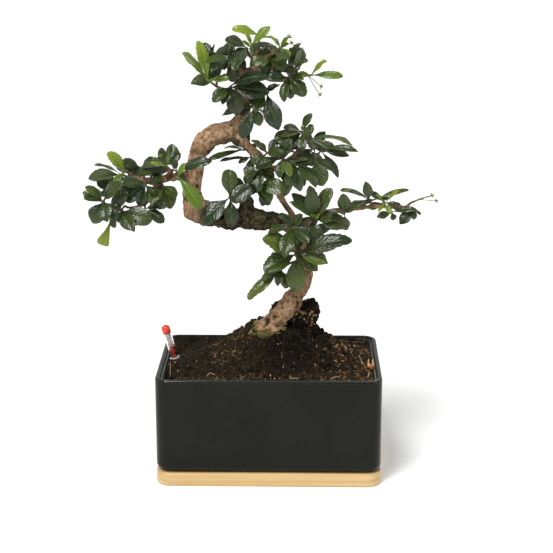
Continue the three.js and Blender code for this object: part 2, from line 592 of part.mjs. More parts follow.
// A leaf's frame: its root, its length and half width, the way it points, its upper side and its bend
function leafFrame(root, angle, tilt, seenLength, width, roll, arch) {
  const [a, t] = [radians(angle), radians(tilt)];
  const along = [Math.cos(a) * Math.cos(t), Math.sin(t), Math.sin(a) * Math.cos(t)];
  const up = [0, -0.8, 1];
  const level = unit(add(up, along, -dot(up, along)));
  const beside = cross(along, level);
  const upper = unit(add(level.map((value) => value * Math.cos(roll)), beside, Math.sin(roll)));
  const full = seenLength / Math.max(Math.cos(t), 0.74);
  return { root, along, upper, beside: cross(along, upper), full, half: width / 2, arch };
}

// The point of a leaf's middle surface at v along it and u across it
function leafPoint(leaf, v, u, edge) {
  const across = u * leaf.half * shareAlong(edge, Math.min(v, 0.93));
  const bow = leaf.arch * leaf.full * 4 * v * (1 - v) - 0.35 * leaf.arch * leaf.full * v;
  const cup = bladeCup * Math.abs(u) * leaf.half * shareAlong(edge, Math.min(v, 0.93));
  const ribPoint = add(add(leaf.root, leaf.along, leaf.full * v), leaf.upper, bow);
  return add(add(ribPoint, leaf.beside, across), leaf.upper, cup);
}

// Points over a leaf, for keeping it clear of what is already there
function leafPoints(leaf) {
  const points = [];
  for (let i = 1; i <= 10; i++) {
    for (const u of [-1, -0.5, 0, 0.5, 1]) {
      points.push([...leafPoint(leaf, 0.1 * i, u, bladeEdge), 0.1 * i]);
    }
  }
  return points;
}

function leafSolid(leaf) {
  const small = leaf.full < smallLeaf;
  const [edge, rib] = small ? [budEdge, budRib] : [bladeEdge, bladeRib];
  const points = [leafPoint(leaf, 0, 0, edge), leafPoint(leaf, 1, 0, edge)];
  const ribAt = (index) => 2 + 2 * index;
  rib.forEach((v) => {
    const thick = bladeHalfThickness * (1.05 - 0.5 * v);
    const middle = leafPoint(leaf, v, 0, edge);
    points.push(add(middle, leaf.upper, thick), add(middle, leaf.upper, -thick));
  });
  const faces = [];
  for (const side of [1, -1]) {
    const first = points.length - 1;
    const shift = side > 0 ? toothShift : 0;
    edge.slice(1).forEach(([v]) => points.push(leafPoint(leaf, v > 0.6 ? v + shift : v, side, edge)));
    const upper = [[0, first + 1, ribAt(0)]];
    for (let i = 1; i < edge.length - 1; i++) {
      const [here, next] = [ribAt(edge[i][2]), ribAt(edge[i + 1][2])];
      upper.push([here, first + i, first + i + 1]);
      if (here !== next) {
        upper.push([here, first + i + 1, next]);
      }
    }
    upper.push([ribAt(rib.length - 1), first + edge.length - 1, 1]);
    const under = (index) => (index > 1 && index < ribAt(rib.length) ? index + 1 : index);
    for (const [a, b, c] of upper) {
      faces.push(side > 0 ? [a, b, c] : [a, c, b]);
      faces.push(side > 0 ? [under(a), under(c), under(b)] : [under(a), under(b), under(c)]);
    }
  }
  return solidFrom(geometryFrom(points, faces));
}

// A shoot's stems: the first runs from the foot to the first tip, the others fork from it
function stemsOf(shoot) {
  const [first, ...others] = targetsOf(shoot);
  const start = add(shoot.foot, shootDirection(shoot), gap);
  const main = [[...start, stemRadius], [...first, stemRadius * (shoot.tips.length ? 0.85 : 0.5)]];
  const fork = mix(main[0], main[1], 0.4);
  const forks = others.map((target, i) => {
    const radius = i + 1 < shoot.tips.length ? 0.85 * stemRadius : budStalkRadius;
    return [[...fork.slice(0, 3), radius], [...target, radius]];
  });
  return [main, ...forks];
}

// What new leaves keep clear of: the wood, the other shoots' stems and the leaves placed before
const taken = [];
for (const route of [...woodRoutes, ...twigRoutes]) {
  for (let i = 0; i < route.length - 1; i++) {
    const steps = Math.ceil(length(subtract(route[i + 1].slice(0, 3), route[i].slice(0, 3))) / woodStep);
    for (let k = 0; k <= steps; k++) {
      const row = mix(route[i], route[i + 1], k / steps);
      taken.push({ at: row.slice(0, 3), radius: row[3], owner: "wood", v: 1 });
    }
  }
}
const stems = shoots.map(stemsOf);
shoots.forEach((shoot, number) => {
  for (const [from, to] of stems[number]) {
    for (const share of [0, 0.33, 0.67, 1]) {
      const row = mix(from, to, share);
      taken.push({ at: row.slice(0, 3), radius: row[3], owner: shoot.name, v: 0 });
    }
  }
});

function leafIsClear(points, owner) {
  if (points.some(([x, y, z]) => z < soilTop(x, y) + soilRoom || z > topHeight)) {
    return false;
  }
  const [rootX, , rootZ] = points[0];
  for (const other of taken) {
    if (Math.abs(other.at[0] - rootX) > longestReach || Math.abs(other.at[2] - rootZ) > longestReach) {
      continue;
    }
    const own = other.owner === owner;
    const room = own ? ownRoom : other.radius + otherRoom;
    for (const [x, y, z, v] of points) {
      if (own && (other.v < stalkShare || v < stalkShare)) {
        continue;
      }
      if (Math.abs(other.at[0] - x) < room && length(subtract(other.at, [x, y, z])) < room) {
        return false;
      }
    }
  }
  return true;
}

const shrinks = [1, 1, 1, 0.85, 0.7];
const triesEach = 24;

// Finds a place for one leaf, near the wanted direction, that is clear of everything there
function placeLeaf(root, wanted, owner, draw) {
  for (const [round, shrink] of shrinks.entries()) {
    for (let k = 0; k < triesEach; k++) {
      const loose = round * triesEach + k;
      const angle = wanted.angle + (draw() - 0.5) * Math.min(4 + loose, 30);
      const tilt = faceOnTilt + (draw() - 0.5) * Math.min(16 + 3 * loose, 120);
      const roll = (draw() - 0.5) * 0.9;
      const arch = 0.02 + 0.1 * draw();
      const leaf = leafFrame(root, angle, Math.max(-steepestTilt, Math.min(steepestTilt, tilt)),
        wanted.length * shrink, wanted.width * shrink, roll, arch);
      const points = leafPoints(leaf);
      if (leafIsClear(points, owner)) {
        points.forEach((point) => taken.push({ at: point.slice(0, 3), radius: 0, owner, v: point[3] }));
        return leaf;
      }
    }
  }
  return null;
}

// The point of a route at a distance back from its end
function backAlong(route, distance) {
  let left = distance;
  for (let i = route.length - 1; i > 0; i--) {
    const [from, to] = [route[i].slice(0, 3), route[i - 1].slice(0, 3)];
    const step = length(subtract(to, from));
    if (left <= step || i === 1) {
      return mix(from, to, Math.min(left / step, 1));
    }
    left -= step;
  }
  return route[0].slice(0, 3);
}

function leavesOf(shoot, number) {
  const leaves = [];
  shoot.tips.forEach((tip, tipNumber) => {
    const draw = seededDraw(seedStep * number + tipNumber + firstSeed);
    const stem = stems[number][tipNumber];
    const spacing = Math.min(rootSpacing, (length(subtract(tip.at, shoot.foot)) - 2) / 6);
    const wanted = tip.leaves.map(([angle, seen, width]) => ({
      angle, length: seen, width: width || seen * (0.54 + 0.12 * draw()),
    }));
    wanted.forEach((leaf, k) => {
      const root = backAlong(stem, 0.4 + spacing * k);
      const placed = placeLeaf(root, leaf, shoot.name, draw);
      if (placed) {
        leaves.push(placed);
      }
    });
  });
  return leaves;
}

function makeShoot(shoot, number) {
  const pieces = stems[number].map((route) => barAlong(route, branchSides));
  for (const place of shoot.buds || []) {
    const bud = new THREE.OctahedronGeometry(budRadius);
    bud.translate(...place);
    pieces.push(solidFrom(bud));
  }
  leavesOf(shoot, number).forEach((leaf) => pieces.push(leafSolid(leaf)));
  return largestBody(joined(pieces));
}

// The whole plant in its pot
const bonsai = new THREE.Group();

function addPiece(name, solid, material) {
  const mesh = new THREE.Mesh(geometryOf(solid), material);
  mesh.name = name;
  bonsai.add(mesh);
}

addPiece("bamboo_tray", makeTray(), materials.bamboo);
addPiece("ceramic_pot", makePot(), materials.ceramic);
addPiece("planter_liner", makeLiner(), materials.liner);
addPiece("soil", makeSoil(makeTrunk(gap)), materials.soil);
addPiece("trunk_and_branches", makeWood(), materials.bark);
addPiece("gauge_tube", makeGaugeTube(), materials.clear);
addPiece("gauge_cap", makeGaugeCap(), materials.red);
addPiece("gauge_float", makeGaugeFloat(), materials.red);
shoots.forEach((shoot, number) => {
  const fresh = shoot.name.startsWith("flower") ? materials.flower : materials.young;
  addPiece(shoot.name, makeShoot(shoot, number), shoot.young ? fresh : materials.leaf);
});

export default bonsai;
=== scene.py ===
# A fukien tea bonsai in its self-watering pot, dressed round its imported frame.
import math
import random
from typing import NamedTuple

import bmesh
import bpy
import numpy as np
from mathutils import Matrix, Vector, kdtree, noise


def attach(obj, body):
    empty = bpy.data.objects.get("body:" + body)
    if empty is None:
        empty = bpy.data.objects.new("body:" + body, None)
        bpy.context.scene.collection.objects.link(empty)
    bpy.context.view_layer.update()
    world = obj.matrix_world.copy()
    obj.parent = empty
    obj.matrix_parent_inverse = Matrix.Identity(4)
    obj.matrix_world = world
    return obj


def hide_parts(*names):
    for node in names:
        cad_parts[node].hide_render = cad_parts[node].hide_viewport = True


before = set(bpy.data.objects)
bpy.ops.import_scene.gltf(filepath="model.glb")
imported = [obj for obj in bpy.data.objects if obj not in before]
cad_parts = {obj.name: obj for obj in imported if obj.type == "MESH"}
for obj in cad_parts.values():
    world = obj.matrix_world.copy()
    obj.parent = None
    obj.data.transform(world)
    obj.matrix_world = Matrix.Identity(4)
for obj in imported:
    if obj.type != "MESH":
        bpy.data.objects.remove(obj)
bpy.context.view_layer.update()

MM = 0.001

# Sizes in millimetres, as on the construction drawing
SOIL_HEIGHT = 105.5
LINER_WALL = 1.6
LINER_BELOW_RIM = 2.2
POT_WALL = 5.2
POT_CORNER = 14
POT_FOOT = 7
POT_FLOOR = 6
GAP = 0.3
GAUGE_BASE = (-96.3, 6, SOIL_HEIGHT)
GAUGE_LEAN = math.radians(15.5)
GAUGE_RADIUS = 4
GAUGE_WALL = 0.8
GAUGE_ABOVE = 27.2
GAUGE_BELOW = 79
CAP_LENGTH = 8.5
SHAFT_RADIUS = 5.1
EYELET_X = GAUGE_BASE[0] + SHAFT_RADIUS + 3.2

POT_LENGTH = 220
POT_DEPTH = 148.4
POT_FLOOR_ROUND = 5
CORNER_SEGMENTS = 12
LIP_ROUND = 2.5
RIM_HEIGHT = 109.5
TRAY_HEIGHT = 14
TRAY_FOOT = 3
TRAY_EASE = 0.8
LINER_TOP = RIM_HEIGHT - LINER_BELOW_RIM
LINER_FLOOR = 43
WICK_RADIUS = 14
WICK_PLACES = (-45, 45)
FEET_BOTTOM = 20.6
SOIL_GRID = (240, 157)
WAIST = dict(z=136, tall=13, depth=11, from_x=40, width=10)
# Where the arc's underside gets painted shade: above this height and left of this x
ARC_LOW = 285
ARC_RIGHT = -20
MOSS_PATCH = (-30, -14, 118)
MOSS_REACH = (26, 20)
MOSS_SPRIGS = 260
FOOT_SPRIGS = 1500
DRY_LEAF_PLACE = (100, -33, 108.4)
DRY_LEAF_SIZE = 4.6
STUB_TOP = (-24, -6, 272)
LICHEN_STRETCH = (-84, 22, 236, 268)
WOOD_VOXEL = 0.95
TWIG_RADIUS = 1.6
MOSS_TOP = 146
COLLAR_TOP = 1
FLANGE_RADIUS = 7.2
FLOAT_TOP = 14
BAND_HEIGHT = 14.6
EYELET_RADIUS = 3
EYELET_WIRE = 0.9
EYELET_RISE = 2.6
EYELET_TILT = math.radians(18)
# Knots on the wood: their place, reach and how far they stand out
KNOTS = [
    ((-72, 2, 322), 7, 3.2), ((-60, 3, 337), 6, 2.6), ((-84, 0, 300), 6, 1.6), ((-86, -2, 268), 8, 2.4),
    ((-64, -6, 252), 7, 2), ((-36, -8, 243), 8, 1.8), ((-4, -8, 242), 7, 2), ((44, -4, 196), 6, 1.8),
    ((4, -14, 165), 6, 1.8), ((38, -4, 238), 6, 1.6), ((-36, -2, 350), 6, 1.8), ((-62, 2, 300), 5, 1.5),
    ((-88, 2, 352), 4.5, 2.6), ((-78, 2, 354), 3.5, -1.6), ((-73, 1, 358), 4, 1.8), ((-96, 0, 338), 5, 1.8),
    ((-62, 0, 342), 3.5, -1.4), ((-100, 0, 322), 5, 1.6), ((-66, 0, 361), 4, 1.6), ((-92, 0, 306), 6, 1.8),
    ((-77, -4, 258), 8, 4), ((-68, -9, 256), 6, 2.4), ((-22, -5, 393), 10, 5), ((-12, -5, 395), 9, 4.5),
    ((-34, -3, 397), 8, 3.4), ((2, -5, 392), 8, 3.4), ((-14, -10, 252), 6, 2), ((6, -8, 252), 6, 2.2),
]

# The leaf rule's numbers
BLADE_EDGE = [(0, 0.07), (0.15, 0.22), (0.43, 0.88), (0.73, 1), (0.8, 0.76), (0.94, 0.56)]
BLADE_CUP = 0.16
FACE_ON_TILT = -14
STEEPEST_TILT = 65
STEM_RADIUS = 1.1
BUD_STALK_RADIUS = 0.55
ROOT_SPACING = 1.5
WOOD_STEP = 2.5
SEED_STEP = 137
FIRST_SEED = 7
TOP_HEIGHT = 442
OWN_ROOM = 1.9
OTHER_ROOM = 2.4
SOIL_ROOM = 4
STALK_SHARE = 0.4
LONGEST_REACH = 45
SHRINKS = [1, 1, 1, 0.85, 0.7]
TRIES_EACH = 24
FIRST_ROOT = 0.4
LIT_SIDE = [0, -0.8, 1]
BENT_TWIG = 12

# The camera, fitted to the photograph's 553 pixel frame
FRAME_PIXELS = 553
FOCAL_PIXELS = 1422.6
CAMERA_PLACE = (30, -1360, 565)
CAMERA_PITCH = 15.289
CAMERA_YAW = 0.982


class Swell(NamedTuple):
    """A rise or a dip in the soil: its middle, its height, its reach and how sharply it ends."""
    x: float
    y: float
    height: float
    across: float
    along: float
    sharp_x: int = 2
    sharp_y: int = 2

    def over(self, x, y):
        return self.height * np.exp(-(np.abs((x - self.x) / self.across) ** self.sharp_x
                                      + np.abs((y - self.y) / self.along) ** self.sharp_y))


CLOD = Swell(26, 18, 54.5, 32.5, 30, 6, 6)
SLOPE = Swell(10, 8, 46, 60, 40)
DIP = Swell(-96, -40, -2.6, 26, 26)
FOOT_BANK = Swell(-12, -22, 7, 15, 15)
FRONT_HOLLOW = Swell(-101, -52, -8, 8, 20)
BACK_BANK = Swell(-22, 66, 2.8, 84, 13, 4, 2)
GAUGE_HOLLOW = dict(depth=2.4, reach=9.5)
BORE_DEPTH = 12
GAUGE_CLEARANCE = 7
# Painted shade: the patch over the heap's middle where the peat is darkened; its height is the share of
# darkening
PAINTED_SHADE_PATCH = Swell(24, -24, 1, 36, 28)


class Tip(NamedTuple):
    """Where leaves gather, and the leaves there."""
    at: tuple
    leaves: list


class Shoot(NamedTuple):
    name: str
    foot: tuple
    tips: list
    buds: tuple = ()


# The wood from base to end: x, y, z and radius
TRUNK_ROUTE = [
    (-18, -3, 112, 14), (-8, -6, 131, 13.5), (0, -6, 142, 12.5), (14, -4, 159, 10), (26, -2, 175, 9.3),
    (32, 0, 187, 9.2), (34, 2, 197, 8.3), (33, 4, 209, 7.3), (30, 4, 221, 6.9), (27, 2, 233, 7.3),
    (21, 0, 244, 7.4), (11, -2, 250, 7.8), (-2, -4, 252, 8.8), (-15, -5, 253, 10), (-29, -5, 254, 9.7),
    (-46, -4, 254, 9.8), (-60, -2, 257, 12), (-71, 0, 264, 10.8), (-76, 3, 276, 8.9), (-75, 6, 289, 8),
    (-73, 8, 303, 8.5), (-69, 9, 317, 10.2), (-61, 8, 328, 11), (-50, 6, 334, 10.6), (-39, 4, 338, 10.2),
    (-30, 2, 345, 8.3), (-26, 1, 356, 6.3), (-23, 0, 368, 5.4), (-20, 0, 380, 4.9), (-17, 0, 391, 5.3),
    (-13, 0, 399, 4),
]
BRANCH_ROUTES = [
    [(-77, 6, 289, 7.3), (-87, 1, 293, 4.9), (-100, -5, 293, 4.1), (-116, -9, 291, 3.4),
     (-127, -12, 294, 2.4), (-134, -15, 297, 1.7)],
    [(-106, -7, 293, 3.4), (-112, -11, 282, 2.4), (-119, -16, 271, 2), (-130, -19, 267, 1.7),
     (-136, -21, 267, 1.5)],
    [(-127, -12, 294, 2.4), (-140, -19, 287, 1.8), (-150, -23, 280, 1.5), (-154, -24, 278, 1.3)],
    [(-20, 0, 389, 4), (-27, 1, 396, 4.4), (-37, 2, 399, 3.6), (-45, 3, 403, 1.9)],
    [(-16, 0, 388, 3.6), (-7, -1, 393, 3.9), (3, -2, 390, 3.4), (15, -2, 389, 2.7), (26, -2, 391, 1.9),
     (31, -2, 392, 1.5)],
    [(-13, -1, 397, 3.2), (-16, -2, 407, 2.4), (-17, -3, 409, 1.6)],
    [(-22, 0, 371, 3.9), (-30, -5, 377, 2.2), (-41, -9, 379, 1.7), (-50, -11, 383, 1.4)],
    [(-34, 3, 338, 6.3), (-26, -1, 329, 4.9), (-17, -3, 321, 4.4), (-9, -4, 313, 4.1), (-2, -5, 303, 3.9)],
    [(-2, -5, 303, 3.9), (6, -6, 303, 3.4), (16, -7, 309, 2.9), (25, -7, 317, 2.4), (30, -6, 324, 2.2),
     (32, -5, 332, 1.7)],
    [(27, 3, 234, 5.3), (23, 9, 251, 3.6), (14, 10, 266, 3.4), (6, 8, 280, 3.2), (-1, 5, 291, 2.4),
     (-7, 0, 296, 1.9)],
    [(29, 3, 230, 4.9), (36, 0, 247, 3.2), (47, -2, 257, 2.7), (63, -3, 261, 2.4), (80, -3, 262, 2.2),
     (98, -3, 265, 2), (115, -3, 265, 1.7), (133, -3, 265, 1.5)],
    [(-23, -4, 252, 8.3), (-23, -5, 265, 7.3), (-24, -6, 272, 5.2)],
    [(-24, -6, 268, 4), (-29, -7, 274, 1.9), (-33, -8, 275, 1.4)],
    [(16, -7, 309, 2.4), (27, -4, 313, 1.8), (37, -3, 314, 1.5), (40, -3, 315, 1.2)],
]
ROOT_ROUTES = [
    [(-16, -4, 116, 11), (-34, -14, 98, 5), (-52, -22, 84, 2.4), (-66, -26, 74, 1.2)],
    [(-16, -4, 116, 11), (4, -20, 96, 5), (26, -34, 80, 2.6), (40, -40, 68, 1.2)],
    [(-12, -2, 120, 11), (10, 16, 104, 6.5), (34, 26, 86, 3.2), (56, 30, 72, 1.4)],
    [(-16, -2, 114, 11), (-22, 24, 94, 5), (-26, 42, 78, 2), (-30, 50, 64, 1.1)],
]
# The leafy shoots, as on the drawing. A leaf is the direction it takes seen from the front, its length
# seen from there, its width where that stands out (0 elsewhere), and its freshness: 1 is lime green
# and -1 the darkest green.
SHOOTS = [
    Shoot("young_1", (-55, -19, 388), [
        Tip((-58, -23, 391), [(127, 34, 17), (8, 20, 8), (100, 38, 12)])]),
    Shoot("young_2", (-15, -7, 413), [
        Tip((-17, -13, 422), [(52, 25, 12), (112, 15, 5), (140, 11, 4)])]),
    Shoot("young_3", (-11, 11, 418), [
        Tip((-10, 8, 429), [(163, 26, 12), (46, 10, 6), (5, 17, 6)])]),
    Shoot("young_4", (8, -11, 417), [
        Tip((11, -14, 420), [(322, 12), (125, 12), (60, 14, 5), (35, 10, 4)])],
        [(19, -13, 430), (14, -16, 424), (21, -12, 424)]),
    Shoot("young_5", (34, -3, 392), [
        Tip((41, -4, 393), [(2, 29, 9), (48, 20, 10), (170, 12, 6)])], [(49, -9, 383), (48, -7, 375)]),
    Shoot("young_6", (111, -5, 267), [
        Tip((112, -8, 270), [(52, 19, 6), (132, 12, 5), (232, 9, 5), (300, 10, 6)])]),
    Shoot("young_7", (-137, -19, 303), [
        Tip((-138, -23, 302), [(125, 25, 13), (220, 15, 7)])]),
    Shoot("young_8", (-89, -22, 296), [
        Tip((-87, -26, 299), [(309, 37, 14), (61, 15, 6)])]),
    Shoot("flower_1", (140, 5, 268), [], [(158, -2, 276), (162, -3, 271)]),
    Shoot("flower_2", (-97, -18, 306), [
        Tip((-98, -20, 308), [(165, 16, 4), (80, 13, 4)])], [(-110, -19, 315), (-104, -19, 317)]),
    Shoot("crown_1", (-50, -6, 386), [
        Tip((-49, -8, 391), [(100, 27, 16), (187, 25, 16), (140, 15)])]),
    Shoot("crown_2", (-48, 2, 406), [
        Tip((-55, 4, 408), [(42, 17), (82, 15), (150, 13), (190, 16)])]),
    Shoot("crown_3", (-20, -3, 413), [
        Tip((-21, -7, 419), [(154, 22), (233, 24, 17), (9, 25), (325, 20)])]),
    Shoot("crown_4", (-31, 1, 404), [
        Tip((-33, -3, 413), [(190, 26), (215, 24), (170, 24), (260, 16)])]),
    Shoot("crown_5", (3, -6, 405), [
        Tip((-1, -12, 412), [(325, 21), (200, 19), (20, 24), (255, 18), (70, 12)])]),
    Shoot("crown_6", (25, -3, 396), [
        Tip((29, -4, 400), [(112, 21), (95, 22), (77, 20), (190, 18)]),
        Tip((17, -12, 391), [(318, 23), (277, 20, 10), (250, 16), (345, 14)])]),
    Shoot("crown_7", (-36, -12, 381), [
        Tip((-37, -19, 384), [(18, 36, 22, -1), (352, 37, 19, -1), (286, 27, 0, -1), (245, 16),
            (205, 20, 11)])]),
    Shoot("crown_8", (-17, -8, 366), [
        Tip((-14, -15, 363), [(246, 31, 14, -1), (290, 18), (200, 17), (191, 32, 10)])]),
    Shoot("crown_9", (-9, -7, 378), [
        Tip((-2, -12, 377), [(289, 35, 18, -1), (232, 20, 12), (35, 12)])]),
    Shoot("crown_10", (0, 17, 396), [
        Tip((-9, 28, 403), [(160, 24), (118, 20), (75, 18), (20, 20), (215, 20)]),
        Tip((17, 27, 396), [(65, 27, 11), (120, 18), (20, 24), (330, 18)])]),
    Shoot("crown_11", (-37, 17, 399), [
        Tip((-46, 25, 402), [(100, 12, 9), (165, 22), (200, 22), (60, 16)])]),
    Shoot("crown_12", (-33, -7, 402), [
        Tip((-38, -15, 411), [(175, 22, 8), (20, 24, 12), (200, 22, 10), (280, 20, 12)])]),
    Shoot("middle_1", (32, -5, 335), [
        Tip((31, -7, 340), [(195, 27), (160, 18), (222, 25), (262, 15)]),
        Tip((38, -13, 333), [(2, 41, 9), (300, 12), (335, 24, 9)])]),
    Shoot("middle_2", (46, -3, 316), [
        Tip((51, 2, 321), [(4, 34, 8), (350, 27, 8), (308, 30, 9)]),
        Tip((43, -15, 313), [(290, 25, 19), (325, 20)])]),
    Shoot("middle_3", (18, -12, 311), [
        Tip((25, -18, 310), [(322, 28), (285, 26, 13), (258, 34, 11), (302, 27, 12)]),
        Tip((11, -18, 316), [(197, 26), (300, 18), (345, 20), (272, 22, 13)])]),
    Shoot("middle_4", (-6, -9, 315), [
        Tip((-1, -13, 320), [(139, 20, 9), (50, 17), (22, 18), (200, 16)])]),
    Shoot("middle_5", (-14, 5, 319), [
        Tip((-26, 11, 318), [(188, 35, 7), (170, 20, 6)]),
        Tip((-18, 12, 310), [(182, 31, 8), (205, 14, 6)])]),
    Shoot("middle_6", (31, 15, 312), [
        Tip((20, 26, 315), [(130, 20), (80, 16), (195, 22), (250, 20), (330, 22)]),
        Tip((44, 27, 317), [(60, 20, 12), (118, 18, 12), (12, 22, 12), (300, 20)])]),
    Shoot("heart_1", (-8, -8, 297), [
        Tip((-9, -13, 305), [(250, 17), (215, 15), (60, 13)]),
        Tip((-11, -14, 290), [(355, 26), (214, 31), (290, 20)]),
        Tip((-6, -8, 284), [(270, 17), (200, 20), (310, 15)])]),
    Shoot("heart_2", (-36, -11, 275), [
        Tip((-39, -15, 276), [(76, 27, 17), (222, 34), (275, 27), (30, 22)])]),
    Shoot("heart_3", (-20, 9, 274), [
        Tip((-22, 19, 277), [(150, 20), (100, 12), (200, 20), (20, 18), (270, 16)])]),
    Shoot("elbow_1", (43, -8, 252), [
        Tip((45, -14, 255), [(140, 31, 10), (66, 35, 15), (353, 32, 17), (125, 34, 14), (97, 35, 15),
            (270, 20, 18)])]),
    Shoot("elbow_2", (69, -7, 260), [
        Tip((73, -11, 259), [(92, 21), (150, 18), (40, 17)])]),
    Shoot("elbow_3", (29, -12, 219), [
        Tip((26, -20, 222), [(20, 55, 19, 0), (350, 31, 0, 0.42), (148, 37, 0, 0.28), (200, 35),
            (264, 37, 20, 0.08), (322, 24)])]),
    Shoot("elbow_4", (18, -14, 209), [
        Tip((11, -20, 205), [(203, 20), (219, 43, 14, 0.15), (150, 17)])]),
    Shoot("elbow_5", (35, 15, 230), [
        Tip((40, 25, 232), [(15, 20), (200, 20), (120, 20), (265, 20), (315, 18)])]),
    Shoot("elbow_6", (24, -11, 243), [
        Tip((21, -17, 248), [(190, 22), (242, 26), (300, 15), (60, 17), (125, 20)])]),
    Shoot("right_1", (99, -4, 269), [
        Tip((96, -7, 274), [(158, 29, 11), (148, 24, 8), (100, 19, 10), (200, 23, 12)]),
        Tip((104, -3, 273), [(15, 33, 6, 0.15), (195, 14, 6), (352, 15, 5)])]),
    Shoot("right_2", (118, -4, 262), [
        Tip((119, -8, 260), [(195, 15, 8), (290, 8, 7), (12, 24, 7)])]),
    Shoot("right_3", (137, -4, 264), [
        Tip((142, -9, 263), [(220, 20, 12), (262, 9, 6), (175, 23, 7), (330, 8, 5)])]),
    Shoot("right_4", (108, 8, 263), [
        Tip((113, 17, 266), [(150, 20, 9), (345, 20, 9), (198, 16, 8)])]),
    Shoot("left_1", (-138, -16, 297), [
        Tip((-142, -20, 299), [(197, 35, 16), (158, 28, 6), (28, 18), (264, 26, 17)])]),
    Shoot("left_2", (-157, -25, 277), [
        Tip((-160, -27, 273), [(147, 21), (128, 22), (168, 19, 6), (244, 23, 18), (46, 28),
            (285, 18, 14)])]),
    Shoot("left_3", (-140, -22, 268), [
        Tip((-143, -26, 265), [(347, 31, 18), (182, 20, 13, 0.3), (296, 20, 14), (262, 13, 9, 0.5),
            (318, 22)]),
        Tip((-150, -28, 262), [(249, 31, 13, 0.6)])]),
    Shoot("left_4", (-118, -15, 290), [
        Tip((-119, -22, 289), [(207, 24, 15), (303, 22), (250, 21), (168, 24)])]),
    Shoot("left_5", (-95, -9, 301), [
        Tip((-101, -12, 306), [(175, 23), (192, 26), (103, 20, 9)]),
        Tip((-89, -15, 302), [(19, 36, 13, 0.02), (275, 24, 16), (312, 16), (108, 24, 14),
            (240, 23, 15)])]),
    Shoot("left_6", (-107, -11, 282), [
        Tip((-103, -17, 291), [(290, 26, 17), (262, 27, 15), (330, 18, 12), (225, 20, 13)])]),
    Shoot("left_7", (-122, -8, 297), [
        Tip((-125, -6, 304), [(28, 18), (152, 19), (172, 25), (62, 15), (10, 21)])]),
    Shoot("left_8", (-120, -19, 268), [
        Tip((-119, -24, 265), [(285, 11, 10), (226, 18, 13), (330, 21, 12), (20, 16)])]),
    Shoot("left_9", (-118, 7, 289), [
        Tip((-117, 18, 291), [(100, 18), (160, 24), (30, 22), (215, 20), (310, 22)])]),
    Shoot("left_10", (-146, -5, 282), [
        Tip((-151, 4, 279), [(150, 20), (200, 20), (20, 18), (335, 20), (270, 20)])]),
]


# Places and draws

def add(a, b, share=1.0):
    return [x + y * share for x, y in zip(a, b)]


def mix(a, b, share):
    return [x + (y - x) * share for x, y in zip(a, b)]


def subtract(a, b):
    return [x - y for x, y in zip(a, b)]


def dot(a, b):
    return sum(x * y for x, y in zip(a, b))


def length(a):
    return math.sqrt(dot(a, a))


def unit(a):
    size = length(a)
    return [x / size for x in a]


def cross(a, b):
    return [a[1] * b[2] - a[2] * b[1], a[2] * b[0] - a[0] * b[2], a[0] * b[1] - a[1] * b[0]]


def fade(value, start, width):
    """0 up to a start and 1 from a width past it; a negative width runs the other way."""
    return np.clip((value - start) / width, 0, 1)


def seeded_draw(seed):
    """A draw between 0 and 1, the same on every run."""
    state = (seed * 7919 + 17) % 2**32

    def draw():
        nonlocal state
        state = (state * 1664525 + 1013904223) % 2**32
        return state / 2**32

    draw()
    draw()
    return draw


def soil_top(x, y):
    """The height of the solids' soil at a place or places, in millimetres."""
    crumbs = 0.7 * np.sin(x * 0.31 + 1.3 * np.sin(y * 0.23)) + 0.5 * np.sin(y * 0.37 + x * 0.11)
    heap = np.maximum(CLOD.over(x, y), SLOPE.over(x, y))
    return SOIL_HEIGHT + heap + DIP.over(x, y) + crumbs * (0.6 + heap / 30)


# The wood's routes, with a twig out to each shoot's foot

def is_young(shoot):
    return shoot.name.startswith(("young", "flower"))


def targets_of(shoot):
    return [tip.at for tip in shoot.tips] + list(shoot.buds)


def shoot_direction(shoot):
    return unit(subtract(targets_of(shoot)[0], shoot.foot))


def nearest_wood(place):
    """The row of the wood whose skin is nearest to a place."""
    best, best_away = None, math.inf
    for route in WOOD_ROUTES:
        for k in range(4 * (len(route) - 1) + 1):
            i = min(k // 4, len(route) - 2)
            row = mix(route[i], route[i + 1], k / 4 - i)
            away = length(subtract(place, row[:3])) - row[3]
            if away < best_away:
                best, best_away = row, away
    return best


def twig_route(shoot):
    """A twig from the nearest wood to a shoot's foot, bent where it is long."""
    start = nearest_wood(shoot.foot)
    along = shoot_direction(shoot)
    reach = length(subtract(shoot.foot, start[:3]))
    rows = [[*start[:3], min(start[3], 1.8 + reach / 20)]]
    if reach > BENT_TWIG:
        bend = add(shoot.foot, along, -0.4 * reach)
        rows.append([*mix(mix(rows[0][:3], bend, 0.5), mix(bend, shoot.foot, 0.5), 0.5), 1.6])
    rows.append([*add(shoot.foot, along, -1.5), STEM_RADIUS])
    rows.append([*shoot.foot, STEM_RADIUS])
    return rows


def stems_of(shoot):
    """The first stem runs from the foot to the first tip, and the others fork from it."""
    first, *others = targets_of(shoot)
    start = add(shoot.foot, shoot_direction(shoot), GAP)
    stems = [[[*start, STEM_RADIUS], [*first, STEM_RADIUS * (0.85 if shoot.tips else 0.5)]]]
    fork = mix(*stems[0], 0.4)
    for i, target in enumerate(others):
        radius = 0.85 * STEM_RADIUS if i + 1 < len(shoot.tips) else BUD_STALK_RADIUS
        stems.append([[*fork[:3], radius], [*target, radius]])
    return stems


WOOD_ROUTES = [TRUNK_ROUTE, *BRANCH_ROUTES]
TWIG_ROUTES = [twig_route(shoot) for shoot in SHOOTS]
STEMS = [stems_of(shoot) for shoot in SHOOTS]


# Leaves: where each one grows

class Leaf(NamedTuple):
    root: np.ndarray
    along: np.ndarray
    upper: np.ndarray
    beside: np.ndarray
    full: float
    half: float
    arch: float
    fresh: float = None


class Wanted(NamedTuple):
    """A leaf as the drawing asks for it."""
    angle: float
    tilt: float
    length: float
    width: float


